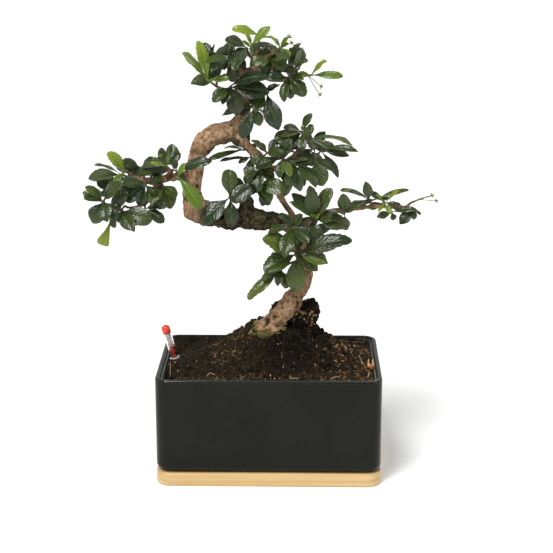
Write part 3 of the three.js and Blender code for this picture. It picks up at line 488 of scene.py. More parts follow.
def leaf_frame(root, angle, tilt, seen_length, width, roll, arch):
    """A leaf's axes from its direction seen from the front, its tilt and its roll."""
    a, t = math.radians(angle), math.radians(tilt)
    along = [math.cos(a) * math.cos(t), math.sin(t), math.sin(a) * math.cos(t)]
    level = unit(add(LIT_SIDE, along, -dot(LIT_SIDE, along)))
    beside = cross(along, level)
    upper = unit(add([value * math.cos(roll) for value in level], beside, math.sin(roll)))
    full = seen_length / max(math.cos(t), 0.74)
    return Leaf(*map(np.array, (root, along, upper, cross(along, upper))), full, width / 2, arch)


def rib_bow(leaf, v):
    return leaf.arch * leaf.full * 4 * v * (1 - v) - 0.35 * leaf.arch * leaf.full * v


def leaf_points(leaf):
    """Points over a leaf, each with its share of the way to the tip."""
    across = leaf.half * CHECK_SHARE
    points = leaf.root + np.outer(leaf.full * CHECK_V, leaf.along)
    points += np.outer(rib_bow(leaf, CHECK_V) + BLADE_CUP * np.abs(CHECK_U) * across, leaf.upper)
    points += np.outer(CHECK_U * across, leaf.beside)
    return points


CHECK_V = np.repeat([0.1 * i for i in range(1, 11)], 5)
CHECK_U = np.tile([-1, -0.5, 0, 0.5, 1], 10)
CHECK_SHARE = np.interp(np.minimum(CHECK_V, 0.93), *zip(*BLADE_EDGE))


class Taken:
    """What new leaves keep clear of: the wood, the shoots' stems and the leaves placed before."""

    def __init__(self, most=60000):
        self.at = np.zeros((most, 3))
        self.radius = np.zeros(most)
        self.owner = np.zeros(most, int)
        self.v = np.zeros(most)
        self.count = 0

    def add_rows(self, rows, owner, v):
        self.add([row[:3] for row in rows], [row[3] for row in rows], owner, v)

    def add(self, points, radius, owner, v):
        end = self.count + len(points)
        self.at[self.count:end] = points
        self.radius[self.count:end] = radius
        self.owner[self.count:end] = owner
        self.v[self.count:end] = v
        self.count = end

    def near(self, place, owner):
        """All that a leaf rooted at this place could meet, split by whether its own shoot has it."""
        n = self.count
        close = (np.abs(self.at[:n] - place) < 2 * LONGEST_REACH).all(axis=1)
        own = self.owner[:n] == owner
        mine = close & own & (self.v[:n] >= STALK_SHARE)
        return self.at[:n][mine], self.at[:n][close & ~own], self.radius[:n][close & ~own]


def touches(points, others, room):
    """Whether any point has any of the others within its room."""
    if not len(points) or not len(others):
        return False
    away = ((points[:, None, :] - others[None, :, :]) ** 2).sum(axis=2)
    return bool((away < np.square(room)).any())


def leaf_is_clear(points, around):
    """Whether a leaf stays over the soil, under the tree's top and clear of what is around it."""
    x, y, z = points.T
    if (z < soil_top(x, y) + SOIL_ROOM).any() or (z > TOP_HEIGHT).any():
        return False
    mine, others, radii = around

    def in_reach(places):
        return (np.abs(places - points[0])[:, [0, 2]] <= LONGEST_REACH).all(axis=1)

    if touches(points[CHECK_V >= STALK_SHARE], mine[in_reach(mine)], OWN_ROOM):
        return False
    seen = in_reach(others)
    return not touches(points, others[seen], radii[seen] + OTHER_ROOM)


def place_leaf(root, wanted, owner, draw, taken):
    """Finds a place for one leaf, near the wanted direction, that is clear of everything there."""
    around = taken.near(np.array(root), owner)
    for turn, shrink in enumerate(SHRINKS):
        for k in range(TRIES_EACH):
            loose = turn * TRIES_EACH + k
            angle = wanted.angle + (draw() - 0.5) * min(4 + loose, 30)
            tilt = wanted.tilt + (draw() - 0.5) * min(16 + 3 * loose, 120)
            roll = (draw() - 0.5) * 0.9
            arch = 0.02 + 0.1 * draw()
            leaf = leaf_frame(root, angle, max(-STEEPEST_TILT, min(STEEPEST_TILT, tilt)),
                              wanted.length * shrink, wanted.width * shrink, roll, arch)
            points = leaf_points(leaf)
            if leaf_is_clear(points, around):
                taken.add(points, 0, owner, CHECK_V)
                return leaf
    return None


def back_along(route, distance):
    """The point of a straight stem at a distance back from its end."""
    start, end = route[0][:3], route[1][:3]
    return mix(end, start, min(distance / length(subtract(start, end)), 1))


def wood_taken():
    """The wood and the stems, as spheres that leaves keep clear of."""
    taken = Taken()
    for route in [*WOOD_ROUTES, *TWIG_ROUTES]:
        for here, there in zip(route, route[1:]):
            steps = math.ceil(length(subtract(there[:3], here[:3])) / WOOD_STEP)
            taken.add_rows([mix(here, there, k / steps) for k in range(steps + 1)], -1, 1)
    for number, stems in enumerate(STEMS):
        for start, end in stems:
            taken.add_rows([mix(start, end, share) for share in (0, 0.33, 0.67, 1)], number, 0)
    return taken


def leaves_of(number, taken):
    """Every leaf of one shoot, by the same rule as its solid."""
    shoot = SHOOTS[number]
    leaves = []
    for tip_number, tip in enumerate(shoot.tips):
        draw = seeded_draw(SEED_STEP * number + tip_number + FIRST_SEED)
        stem = STEMS[number][tip_number]
        spacing = min(ROOT_SPACING, (length(subtract(tip.at, shoot.foot)) - 2) / 6)
        wanted = []
        for angle, seen, *rest in tip.leaves:
            width = rest and rest[0] or seen * (0.54 + 0.12 * draw())
            wanted.append((rest[1] if len(rest) > 1 else None, Wanted(angle, FACE_ON_TILT, seen, width)))
        for k, (fresh, leaf) in enumerate(wanted):
            placed = place_leaf(back_along(stem, FIRST_ROOT + spacing * k), leaf, number, draw, taken)
            if placed:
                leaves.append(placed._replace(fresh=fresh))
    return leaves


# Hand tools

def only(*pieces):
    """Selects these pieces alone and makes the first one active."""
    bpy.ops.object.select_all(action="DESELECT")
    for piece in pieces:
        piece.select_set(True)
    bpy.context.view_layer.objects.active = pieces[0]


def pick(piece, kind, passes):
    """Opens a piece in edit mode with only the faces or edges selected that pass a test."""
    only(piece)
    bpy.ops.object.mode_set(mode="EDIT")
    bpy.ops.mesh.select_mode(type=kind)
    bpy.ops.mesh.select_all(action="DESELECT")
    shape = bmesh.from_edit_mesh(piece.data)
    for item in shape.faces if kind == "FACE" else shape.edges:
        if passes(item):
            item.select_set(True)
    bmesh.update_edit_mesh(piece.data)


def close_edit():
    bpy.ops.object.mode_set(mode="OBJECT")


def rounded(piece, passes, size, segments):
    """Rounds the edges that pass a test."""
    pick(piece, "EDGE", passes)
    bpy.ops.mesh.bevel(offset=size * MM, segments=segments, affect="EDGES")
    close_edit()


def rim_at(height):
    """A test for the edges at a height where an upright wall meets a level face."""
    def passes(edge):
        level = all(abs(point.co.z - height * MM) < 1e-6 for point in edge.verts)
        if not level or len(edge.link_faces) != 2:
            return False
        here, there = (abs(face.normal.z) for face in edge.link_faces)
        return abs(here - there) > 0.5
    return passes


def hollowed(piece, wall, depth):
    """Sinks a block's top and leaves a wall round it."""
    pick(piece, "FACE", lambda face: face.normal.z > 0.9)
    bpy.ops.mesh.inset(thickness=wall * MM, depth=0)
    bpy.ops.mesh.extrude_region_move(TRANSFORM_OT_translate=dict(value=(0, 0, -depth * MM)))
    close_edit()


def outward(piece, merge=0):
    """Merges an open piece's points that are this near, turns its faces outwards and closes it."""
    bpy.ops.mesh.select_all(action="SELECT")
    if merge:
        bpy.ops.mesh.remove_doubles(threshold=merge)
    bpy.ops.mesh.normals_make_consistent(inside=False)
    close_edit()
    return piece


def added(name):
    """Names the primitive just added and puts its place and size into its mesh."""
    piece = bpy.context.view_layer.objects.active
    piece.name = piece.data.name = name
    only(piece)
    bpy.ops.object.transform_apply(location=True, rotation=True, scale=True)
    return piece


def joined(name, pieces):
    only(*pieces)
    if len(pieces) > 1:
        bpy.ops.object.join()
    piece = bpy.context.view_layer.objects.active
    piece.name = piece.data.name = name
    return piece


def modified(piece, kind, **settings):
    """Adds a modifier to a piece and applies it."""
    only(piece)
    modifier = piece.modifiers.new(kind.title(), kind)
    for key, value in settings.items():
        setattr(modifier, key, value)
    bpy.ops.object.modifier_apply(modifier=modifier.name)
    return piece


def points_of(piece):
    """A piece's points as an array, in millimetres."""
    place = np.empty(3 * len(piece.data.vertices))
    piece.data.vertices.foreach_get("co", place)
    return place.reshape(-1, 3) / MM


def drop(pieces):
    """Deletes the patterns once their copies are made."""
    for piece in pieces:
        bpy.data.objects.remove(piece)


def put_points(piece, place):
    piece.data.vertices.foreach_set("co", (np.asarray(place) * MM).ravel())
    piece.data.update()


def mark(piece, *marks):
    """Gives the points their marks for the finishes: up to four, each one number or one for every point."""
    layer = piece.data.attributes.get("mark") or piece.data.attributes.new("mark", "FLOAT_COLOR", "POINT")
    table = np.zeros((len(piece.data.vertices), 4))
    for column, values in enumerate(marks):
        table[:, column] = values
    layer.data.foreach_set("color", table.ravel())
    return piece


def copied(pattern, name):
    """A copy of a pattern with a mesh of its own."""
    piece = pattern.copy()
    piece.data = pattern.data.copy()
    piece.name = name
    bpy.context.collection.objects.link(piece)
    return piece


def strands(name, routes, sides=8):
    """Round stems along routes of x, y, z and radius, closed at their ends, as one mesh."""
    curve = bpy.data.curves.new(name, "CURVE")
    curve.dimensions = "3D"
    curve.bevel_depth = MM
    curve.bevel_resolution = sides // 2 - 2
    curve.use_fill_caps = True
    for route in routes:
        spline = curve.splines.new("POLY")
        spline.points.add(len(route) - 1)
        for point, (x, y, z, radius) in zip(spline.points, route):
            point.co = (x * MM, y * MM, z * MM, 1)
            point.radius = radius
    piece = bpy.data.objects.new(name, curve)
    bpy.context.collection.objects.link(piece)
    only(piece)
    bpy.ops.object.convert(target="MESH")
    piece = bpy.context.view_layer.objects.active
    bpy.ops.object.mode_set(mode="EDIT")
    return outward(piece, merge=1e-7)


def smoothed(route, steps=4):
    """More rows along a route, on a smooth curve through the ones given."""
    rows = np.array([route[0], *route, route[-1]], float)
    fine = []
    for i in range(1, len(rows) - 2):
        for k in range(steps):
            t = k / steps
            a, b, c, d = rows[i - 1:i + 3]
            fine.append(0.5 * (2 * b + (c - a) * t + (2 * a - 5 * b + 4 * c - d) * t**2
                               + (3 * b - 3 * c + d - a) * t**3))
    return [*map(list, fine), list(route[-1])]


def finished(piece, material, slot, *nodes, sharp=40):
    """Shades a piece, gives it its material, and lets it stand for these nodes. The slot is not used."""
    only(piece)
    bpy.ops.object.shade_smooth_by_angle(angle=math.radians(sharp))
    piece.data.materials.clear()
    piece.data.materials.append(material)
    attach(piece, "root")
    if nodes:
        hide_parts(*nodes)
    return piece


# Leaves: the blade pattern and its copies

# Each blade's outline from stalk to tip: share of its length and share of its half width
OUTLINES = dict(
    mature=[(0, 0.07), (0.07, 0.06), (0.14, 0.12), (0.22, 0.3), (0.31, 0.57), (0.43, 0.85), (0.55, 0.97),
            (0.66, 1), (0.735, 0.93), (0.765, 0.79), (0.83, 0.8), (0.865, 0.61), (0.92, 0.58),
            (0.965, 0.36), (1, 0.12)],
    round=[(0, 0.07), (0.07, 0.06), (0.14, 0.12), (0.22, 0.3), (0.31, 0.58), (0.43, 0.86), (0.57, 0.99),
           (0.68, 1), (0.755, 0.96), (0.8, 0.88), (0.85, 0.84), (0.89, 0.74), (0.945, 0.57), (0.98, 0.34),
           (1, 0.12)],
    pointed=[(0, 0.07), (0.07, 0.07), (0.14, 0.16), (0.22, 0.36), (0.31, 0.62), (0.43, 0.87), (0.53, 0.98),
             (0.62, 1), (0.71, 0.93), (0.775, 0.81), (0.83, 0.74), (0.88, 0.57), (0.93, 0.41), (0.97, 0.23),
             (1, 0.07)],
    young=[(0, 0.09), (0.07, 0.1), (0.14, 0.18), (0.22, 0.35), (0.31, 0.56), (0.43, 0.8), (0.55, 0.94),
           (0.66, 1), (0.7, 0.86), (0.76, 0.94), (0.8, 0.75), (0.86, 0.78), (0.9, 0.56), (0.96, 0.48),
           (1, 0.14)],
    wedge=[(0, 0.09), (0.07, 0.09), (0.16, 0.1), (0.27, 0.13), (0.38, 0.2), (0.5, 0.33), (0.61, 0.5),
           (0.72, 0.68), (0.8, 0.82), (0.87, 0.95), (0.91, 1), (0.94, 0.88), (0.965, 0.92), (0.985, 0.66),
           (1, 0.4)],
)
WEDGE_FRESHNESS = 0.6
SMALL_LEAF = 13
EXTRA_LEAVES = 3
BUD_SEPALS = 5
BUD_STALK_SLIMNESS = 0.62
# Shoots with tiny new leaves at their first tip
SPROUTING = ["elbow_1", "middle_1", "middle_2", "heart_3", "left_9", "crown_10", "crown_6"]
BLADE_COLUMNS = np.array([-1, -0.8, -0.46, -0.13, 0, 0.13, 0.46, 0.8, 1])
MARGIN_CURL = 0.75
MARGIN_WAVE = 0.024
TOOTH_STAGGER = 0.014
RIB_GROOVE = 0.4
RIB_WIDTH = 0.9
BLADE_THICKNESS = 0.5
MARGIN_THICKNESS = 0.24
STALK_LENGTH = 0.2


def make_blade_pattern(name, outline):
    """A closed flat blade: x is its share of the half width, y of the length and z of the thickness."""
    rows = len(outline)
    bpy.ops.mesh.primitive_grid_add(x_subdivisions=len(BLADE_COLUMNS) - 1, y_subdivisions=rows - 1, size=2)
    pattern = added(name)
    place = points_of(pattern) * MM
    column = np.rint((place[:, 0] + 1) / 2 * (len(BLADE_COLUMNS) - 1)).astype(int)
    row = np.rint((place[:, 1] + 1) / 2 * (rows - 1)).astype(int)
    place[:, 0] = BLADE_COLUMNS[column]
    place[:, 1] = np.array([v for v, _ in outline])[row]
    put_points(pattern, place / MM)
    modified(pattern, "SOLIDIFY", thickness=1, offset=0)
    place = points_of(pattern) * MM
    corners = np.empty(len(pattern.data.loops), int)
    pattern.data.loops.foreach_get("vertex_index", corners)
    layer = pattern.data.uv_layers[0]
    layer.name = "blade"
    layer.data.foreach_set("uv", (place[corners, :2] * (0.5, 1) + (0.5, 0)).ravel())
    return pattern


def lay_leaf(patterns, kind, leaf, rng, tone, youth):
    """A copy of a blade pattern, bent into one leaf's shape at its place."""
    piece = copied(patterns[kind], "leaf")
    u, v, side = (points_of(piece) * MM).T
    half = leaf.half * np.interp(v, *zip(*OUTLINES[kind]))
    phase, waves = rng.uniform(0, 2 * math.pi), rng.uniform(1.4, 2.6)
    stagger = TOOTH_STAGGER * np.sin(phase + 9 * v) * np.sign(u) * (v > 0.3) * (v < 0.97)
    along = leaf.full * (v + stagger)
    wave = MARGIN_WAVE * leaf.full * np.sin(2 * math.pi * waves * v + phase + 1.3 * np.sign(u)) * u**2 * v
    cup = BLADE_CUP * half * (np.abs(u) - MARGIN_CURL * np.abs(u) ** 3)
    groove = -RIB_GROOVE * np.exp(-((u * half / RIB_WIDTH) ** 2)) * np.clip(6 * v, 0, 1)
    tip_curl = -rng.uniform(0.3, 1.2) * leaf.full * np.clip(v - 0.75, 0, 1) ** 2
    thick = MARGIN_THICKNESS + (BLADE_THICKNESS - MARGIN_THICKNESS) * (1 - np.abs(u))
    thick += np.clip(STALK_LENGTH - v, 0, 1) * 3
    height = rib_bow(leaf, v) + cup + groove + wave + tip_curl + side * thick
    put_points(piece, leaf.root + np.outer(along, leaf.along) + np.outer(u * half, leaf.beside)
               + np.outer(height, leaf.upper))
    return mark(piece, tone, side < 0, youth)


def small_leaf(root, aim, facing, full, half, arch):
    """A leaf that points along its aim and faces as nearly as it can the way given."""
    upper = unit(add(facing, aim, -dot(facing, aim)))
    return Leaf(np.array(root), *map(np.array, (aim, upper, cross(aim, upper))), full, half, arch)


def make_bud_pattern():
    """A pointed bud, 1 high from the stalk's end and 1 in greatest radius."""
    bpy.ops.mesh.primitive_uv_sphere_add(segments=8, ring_count=7, radius=1)
    pattern = added("bud_pattern")
    place = points_of(pattern) * MM
    height = (place[:, 2] + 1) / 2
    around = np.interp(height, [0, 0.15, 0.4, 0.65, 0.85, 1], [0, 0.75, 1, 0.72, 0.35, 0])
    flat = np.maximum(np.hypot(place[:, 0], place[:, 1]), 1e-9)
    place[:, :2] *= (around / flat)[:, None]
    place[:, 2] = height
    put_points(pattern, place / MM)
    return pattern


def turned_to(place, foot, along):
    """Points turned so that their z axis lies along a direction, from a foot."""
    turn = Vector(along).to_track_quat("Z", "Y").to_matrix()
    return np.asarray(place) @ np.array(turn).T + foot


def make_bud(patterns, place, direction, rng):
    """A flower bud at the end of its stalk, with small pointed sepals round it."""
    along = np.array(unit(direction))
    foot = np.array(place, float) - 1.2 * along
    body = copied(patterns["bud"], "bud")
    put_points(body, turned_to(points_of(body) * MM * (1.25, 1.25, 3.6), foot, along))
    parts = [mark(body, rng.random(), 0, 0.9)]
    for k in range(BUD_SEPALS):
        turn = 360 * (k + 0.3 * rng.random()) / BUD_SEPALS
        across = Vector(along).orthogonal().normalized()
        out = np.array(Vector(across))
        out = out * math.cos(math.radians(turn)) + np.cross(along, out) * math.sin(math.radians(turn))
        reach = unit(along * rng.uniform(0.5, 0.9) + out)
        sepal = small_leaf(foot + 0.4 * along, reach, list(along), 3.7, 0.7, 0.05)
        parts.append(lay_leaf(patterns, "young", sepal, rng, rng.random(), 1))
    return parts


def outline_for(leaf, young, rng):
    """Which blade a leaf is cut from."""
    if young or leaf.full < SMALL_LEAF:
        return "young"
    if leaf.fresh == WEDGE_FRESHNESS:
        return "wedge"
    return rng.choice(["mature", "mature", "round", "pointed", "pointed"])


def make_sprout(place, along, patterns, rng):
    """Three or four tiny new leaves at a growing tip."""
    parts = []
    for _ in range(rng.randint(3, 4)):
        spread = [rng.uniform(-1.1, 1.1), rng.uniform(-0.9, 0.4), rng.uniform(-0.2, 0.9)]
        aim = unit(add(add(along, spread), [0, 0, 0.3]))
        size = rng.uniform(6, 10)
        leaf = small_leaf(place, aim, LIT_SIDE, size, 0.2 * size, 0.08)
        parts.append(lay_leaf(patterns, "young", leaf, rng, rng.uniform(0.5, 1), 1))
    return parts


def make_shoot(number, leaves, patterns, material):
    """One shoot: its stems, its leaves and any flower buds."""
    shoot = SHOOTS[number]
    rng = random.Random(700 + number)
    young = is_young(shoot)
    routes = []
    for start, end in STEMS[number]:
        woody = start[3] > BUD_STALK_RADIUS
        bend = [rng.uniform(-0.5, 0.5) for _ in range(3)]
        route = []
        for k in range(7):
            *place, radius = mix(start, end, k / 6)
            radius *= 1 + 0.15 * math.sin(2.4 * k + number) if woody else BUD_STALK_SLIMNESS
            route.append([*add(place, bend, math.sin(math.pi * k / 6)), radius])
        routes.append(route)
    stem_youth = 0.45 if shoot.buds else young
    parts = [mark(strands("stems", routes), rng.random(), 0, stem_youth, 1)]
    for leaf in leaves:
        youth = rng.uniform(0.7, 1) if young else max(0, rng.uniform(-0.9, 0.26))
        tone = rng.random()
        if leaf.fresh is not None:
            youth, tone = max(0, leaf.fresh), tone if leaf.fresh > 0 else 0
        parts.append(lay_leaf(patterns, outline_for(leaf, young, rng), leaf, rng, tone, youth))
    if shoot.name in SPROUTING:
        parts += make_sprout(shoot.tips[0].at, shoot_direction(shoot), patterns, rng)
    for place in shoot.buds:
        parts += make_bud(patterns, place, add(subtract(place, shoot.foot), [0, 0, 5]), rng)
    slot = "leaf"
    if young:
        slot = "flower_bud" if shoot.name.startswith("flower") else "young_leaf"
    return finished(joined(shoot.name + "_foliage", parts), material, slot, shoot.name, sharp=60)


def extra_leaves(number, taken):
    """Smaller leaves between a mature shoot's first ones."""
    shoot = SHOOTS[number]
    leaves = []
    if is_young(shoot) or shoot.name.startswith("right"):
        return leaves
    for tip_number in range(len(shoot.tips)):
        draw = seeded_draw(90000 + 100 * number + tip_number)
        for k in range(EXTRA_LEAVES):
            seen, angle = 12 + 9 * draw(), 360 * draw()
            width, tilt = (0.5 + 0.14 * draw()) * seen, 35 * (draw() - 0.6)
            root = back_along(STEMS[number][tip_number], 0.2 + 0.9 * k)
            placed = place_leaf(root, Wanted(angle, tilt, seen, width), number, draw, taken)
            if placed:
                leaves.append(placed)
    return leaves


def make_foliage(material):
    """Every shoot's leaves: first where the solids have them, then the smaller ones between."""
    patterns = {kind: make_blade_pattern(kind + "_blade", outline) for kind, outline in OUTLINES.items()}
    patterns["bud"] = make_bud_pattern()
    taken = wood_taken()
    numbers = range(len(SHOOTS))
    leaves = [leaves_of(number, taken) for number in numbers]
    extra = [extra_leaves(number, taken) for number in numbers]
    for number in numbers:
        make_shoot(number, leaves[number] + extra[number], patterns, material)
    drop(patterns.values())


# The pot, the tray and the liner

def make_block(name, inset, low, high):
    """A block with the pot's rounded corners, inset from its outline."""
    size = ((POT_LENGTH - 2 * inset) * MM, (POT_DEPTH - 2 * inset) * MM, (high - low) * MM)
    bpy.ops.mesh.primitive_cube_add(size=1, location=(0, 0, (low + high) / 2 * MM), scale=size)
    piece = added(name)
    rounded(piece, lambda edge: abs(edge.verts[0].co.z - edge.verts[1].co.z) > 0.9 * size[2],
            POT_CORNER - inset, CORNER_SEGMENTS)
    return piece


def make_pot(material):
    """The glazed pot: a block with a turned-under foot, hollowed, and a soft lip."""
    bottom = TRAY_HEIGHT + GAP
    pot = make_block("glazed_pot", 0, bottom, RIM_HEIGHT)
    rounded(pot, rim_at(bottom), POT_FOOT, 8)
    hollowed(pot, POT_WALL, RIM_HEIGHT - bottom - POT_FLOOR)
    rounded(pot, rim_at(RIM_HEIGHT), LIP_ROUND, 7)
    rounded(pot, rim_at(bottom + POT_FLOOR), POT_FLOOR_ROUND, 5)
    return finished(pot, material, "glazed_ceramic", "ceramic_pot", sharp=30)


def make_tray(material):
    """The bamboo tray: a board with softly rounded lower edges and a small ease on top."""
    tray = make_block("bamboo_board", 0, 0, TRAY_HEIGHT)
    rounded(tray, rim_at(0), TRAY_FOOT, 6)
    rounded(tray, rim_at(TRAY_HEIGHT), TRAY_EASE, 4)
    return finished(tray, material, "bamboo", "bamboo_tray", sharp=30)


def turned_on_gauge(name, profile, segments=32, first=0.0, turn=2 * math.pi):
    """A piece spun round the gauge's leaning axis from its profile of radius and height."""
    bpy.ops.mesh.primitive_plane_add(size=1)
    piece = added(name)
    shape = bmesh.new()
    points = [shape.verts.new((radius * math.cos(first) * MM, radius * math.sin(first) * MM, height * MM))
              for radius, height in profile]
    for here, there in zip(points, points[1:]):
        shape.edges.new((here, there))
    shape.to_mesh(piece.data)
    shape.free()
    pick(piece, "EDGE", lambda edge: True)
    bpy.ops.mesh.spin(steps=segments, angle=turn, center=(0, 0, 0), axis=(0, 0, 1))
    x, y, z = points_of(outward(piece, merge=1e-6)).T
    across, up = math.cos(GAUGE_LEAN), math.sin(GAUGE_LEAN)
    put_points(piece, np.stack([x * across - z * up, y, x * up + z * across], axis=1) + GAUGE_BASE)
    return piece


def make_liner(material):
    """The grey liner: a thin open box with its two wicking feet and the gauge's collar."""
    liner = make_block("soil_liner", POT_WALL + GAP, LINER_FLOOR, LINER_TOP)
    hollowed(liner, LINER_WALL, LINER_TOP - LINER_FLOOR - LINER_WALL)
    rounded(liner, rim_at(LINER_TOP), 0.4, 2)
    parts = [liner]
    depth = LINER_FLOOR - FEET_BOTTOM + 1
    for x in WICK_PLACES:
        bpy.ops.mesh.primitive_cylinder_add(
            vertices=40, radius=WICK_RADIUS * MM, depth=depth * MM,
            location=(x * MM, 0, (FEET_BOTTOM + depth / 2) * MM))
        parts.append(added("wick_foot"))
        rounded(parts[-1], rim_at(FEET_BOTTOM), 2, 4)
    bore = GAUGE_RADIUS + GAP
    parts.append(turned_on_gauge("collar", [
        (bore, COLLAR_TOP - 14), (SHAFT_RADIUS, COLLAR_TOP - 14), (SHAFT_RADIUS, COLLAR_TOP - 2.2),
        (FLANGE_RADIUS - 0.4, COLLAR_TOP - 1.7), (FLANGE_RADIUS, COLLAR_TOP - 1.2),
        (FLANGE_RADIUS - 0.3, COLLAR_TOP - 0.7), (SHAFT_RADIUS, COLLAR_TOP - 0.5),
        (SHAFT_RADIUS - 0.35, COLLAR_TOP), (bore + 0.25, COLLAR_TOP), (bore, COLLAR_TOP - 0.4),
        (bore, COLLAR_TOP - 14)]))
    return finished(joined("soil_liner", parts), material, "liner_plastic", "planter_liner", sharp=35)


def make_eyelet(material):
    """The black wire loop that stands in the soil beside the gauge."""
    bpy.ops.mesh.primitive_torus_add(
        major_segments=40, minor_segments=12, major_radius=EYELET_RADIUS * MM,
        minor_radius=EYELET_WIRE * MM, rotation=(-EYELET_TILT, 0, 0),
        location=(EYELET_X * MM, GAUGE_BASE[1] * MM, (SOIL_HEIGHT + EYELET_RISE) * MM))
    loop = added("wire_loop")
    wobble = points_of(loop)
    wobble[:, 2] += 0.25 * np.sin(wobble[:, 0] * 0.9)
    put_points(loop, wobble)
    return finished(loop, material, "liner_plastic")


# The water gauge

def make_gauge(clear, red, cream):
    """The clear tube, its red cap, the float that shows the level and the cream trim inside."""
    inside = GAUGE_RADIUS - GAUGE_WALL
    tube = turned_on_gauge("gauge_sleeve", [
        (inside, 1 - GAUGE_BELOW), (GAUGE_RADIUS, 1 - GAUGE_BELOW), (GAUGE_RADIUS, GAUGE_ABOVE),
        (inside, GAUGE_ABOVE), (inside, 1 - GAUGE_BELOW)])
    finished(tube, clear, "clear_plastic", "gauge_tube", sharp=30)
    low = GAUGE_ABOVE + GAP
    high = low + CAP_LENGTH
    outer = GAUGE_RADIUS + GAP
    cap = turned_on_gauge("gauge_lid", [
        (0, low), (outer - 0.4, low), (outer, low + 0.5), (outer, high - 3.4), (outer - 0.25, high - 2.2),
        (outer - 0.9, high - 1.1), (outer - 1.9, high - 0.4), (outer - 3, high - 0.05), (0, high)], 40)
    finished(cap, red, "red_plastic", "gauge_cap", sharp=40)
    start = 2 - GAUGE_BELOW
    shoulder = start + 16
    rod = turned_on_gauge("level_float", [
        (0, start), (2.2, start), (2.5, start + 0.5), (2.5, shoulder - 0.4), (2.2, shoulder),
        (0.9, shoulder + 2), (0.9, 0.5), (1.15, 2), (2.3, 13), (2.05, FLOAT_TOP), (0, FLOAT_TOP)], 24)
    finished(rod, red, "red_plastic", "gauge_float", sharp=30)
    plug_foot = low - 3.6
    plug = turned_on_gauge("plug", [
        (0, plug_foot), (inside - 0.5, plug_foot), (inside - GAP, plug_foot + 0.3),
        (inside - GAP, low - 0.1), (0, low - 0.1)])
    card_profile = [(inside - 0.35, BAND_HEIGHT + 1.4), (inside - 0.35, plug_foot - 0.3)]
    card = turned_on_gauge("card", card_profile, 20, first=math.radians(150), turn=math.radians(140))
    modified(card, "SOLIDIFY", thickness=0.2 * MM, offset=0)
    trim = [plug, card]
    for name, radius, wall, height in (("band", inside - 0.4, 0.3, BAND_HEIGHT),
                                       ("foot_ring", GAUGE_RADIUS + 0.1, 0.75, 0.3)):
        trim.append(turned_on_gauge(name, [
            (radius, height), (radius + wall, height), (radius + wall, height + 1), (radius, height + 1),
            (radius, height)]))
    finished(joined("gauge_trim", trim), cream, "clear_plastic", sharp=35)


# The soil and what lies on it

def soil_noise(place, size, seed):
    return noise.noise(Vector(place) / size + Vector((seed, 2 * seed, 3 * seed)))


def banked_top(x, y):
    """The soil's height with its banks, the hollow by the front corner and the one round the gauge."""
    ring = (np.hypot(x - GAUGE_BASE[0], y - GAUGE_BASE[1]) / GAUGE_HOLLOW["reach"]) ** 6
    return (soil_top(x, y) + FOOT_BANK.over(x, y) + FRONT_HOLLOW.over(x, y)
            - GAUGE_HOLLOW["depth"] * np.exp(-ring) + BACK_BANK.over(x, y))


def waist_shift(x, z):
    """How far the clod's right side is undercut at a height."""
    there = fade(x, WAIST["from_x"], WAIST["width"])
    return WAIST["depth"] * np.exp(-((z - WAIST["z"]) / WAIST["tall"]) ** 2) * there


def soil_face_height(x, y):
    return float(banked_top(np.float64(x), np.float64(y)))


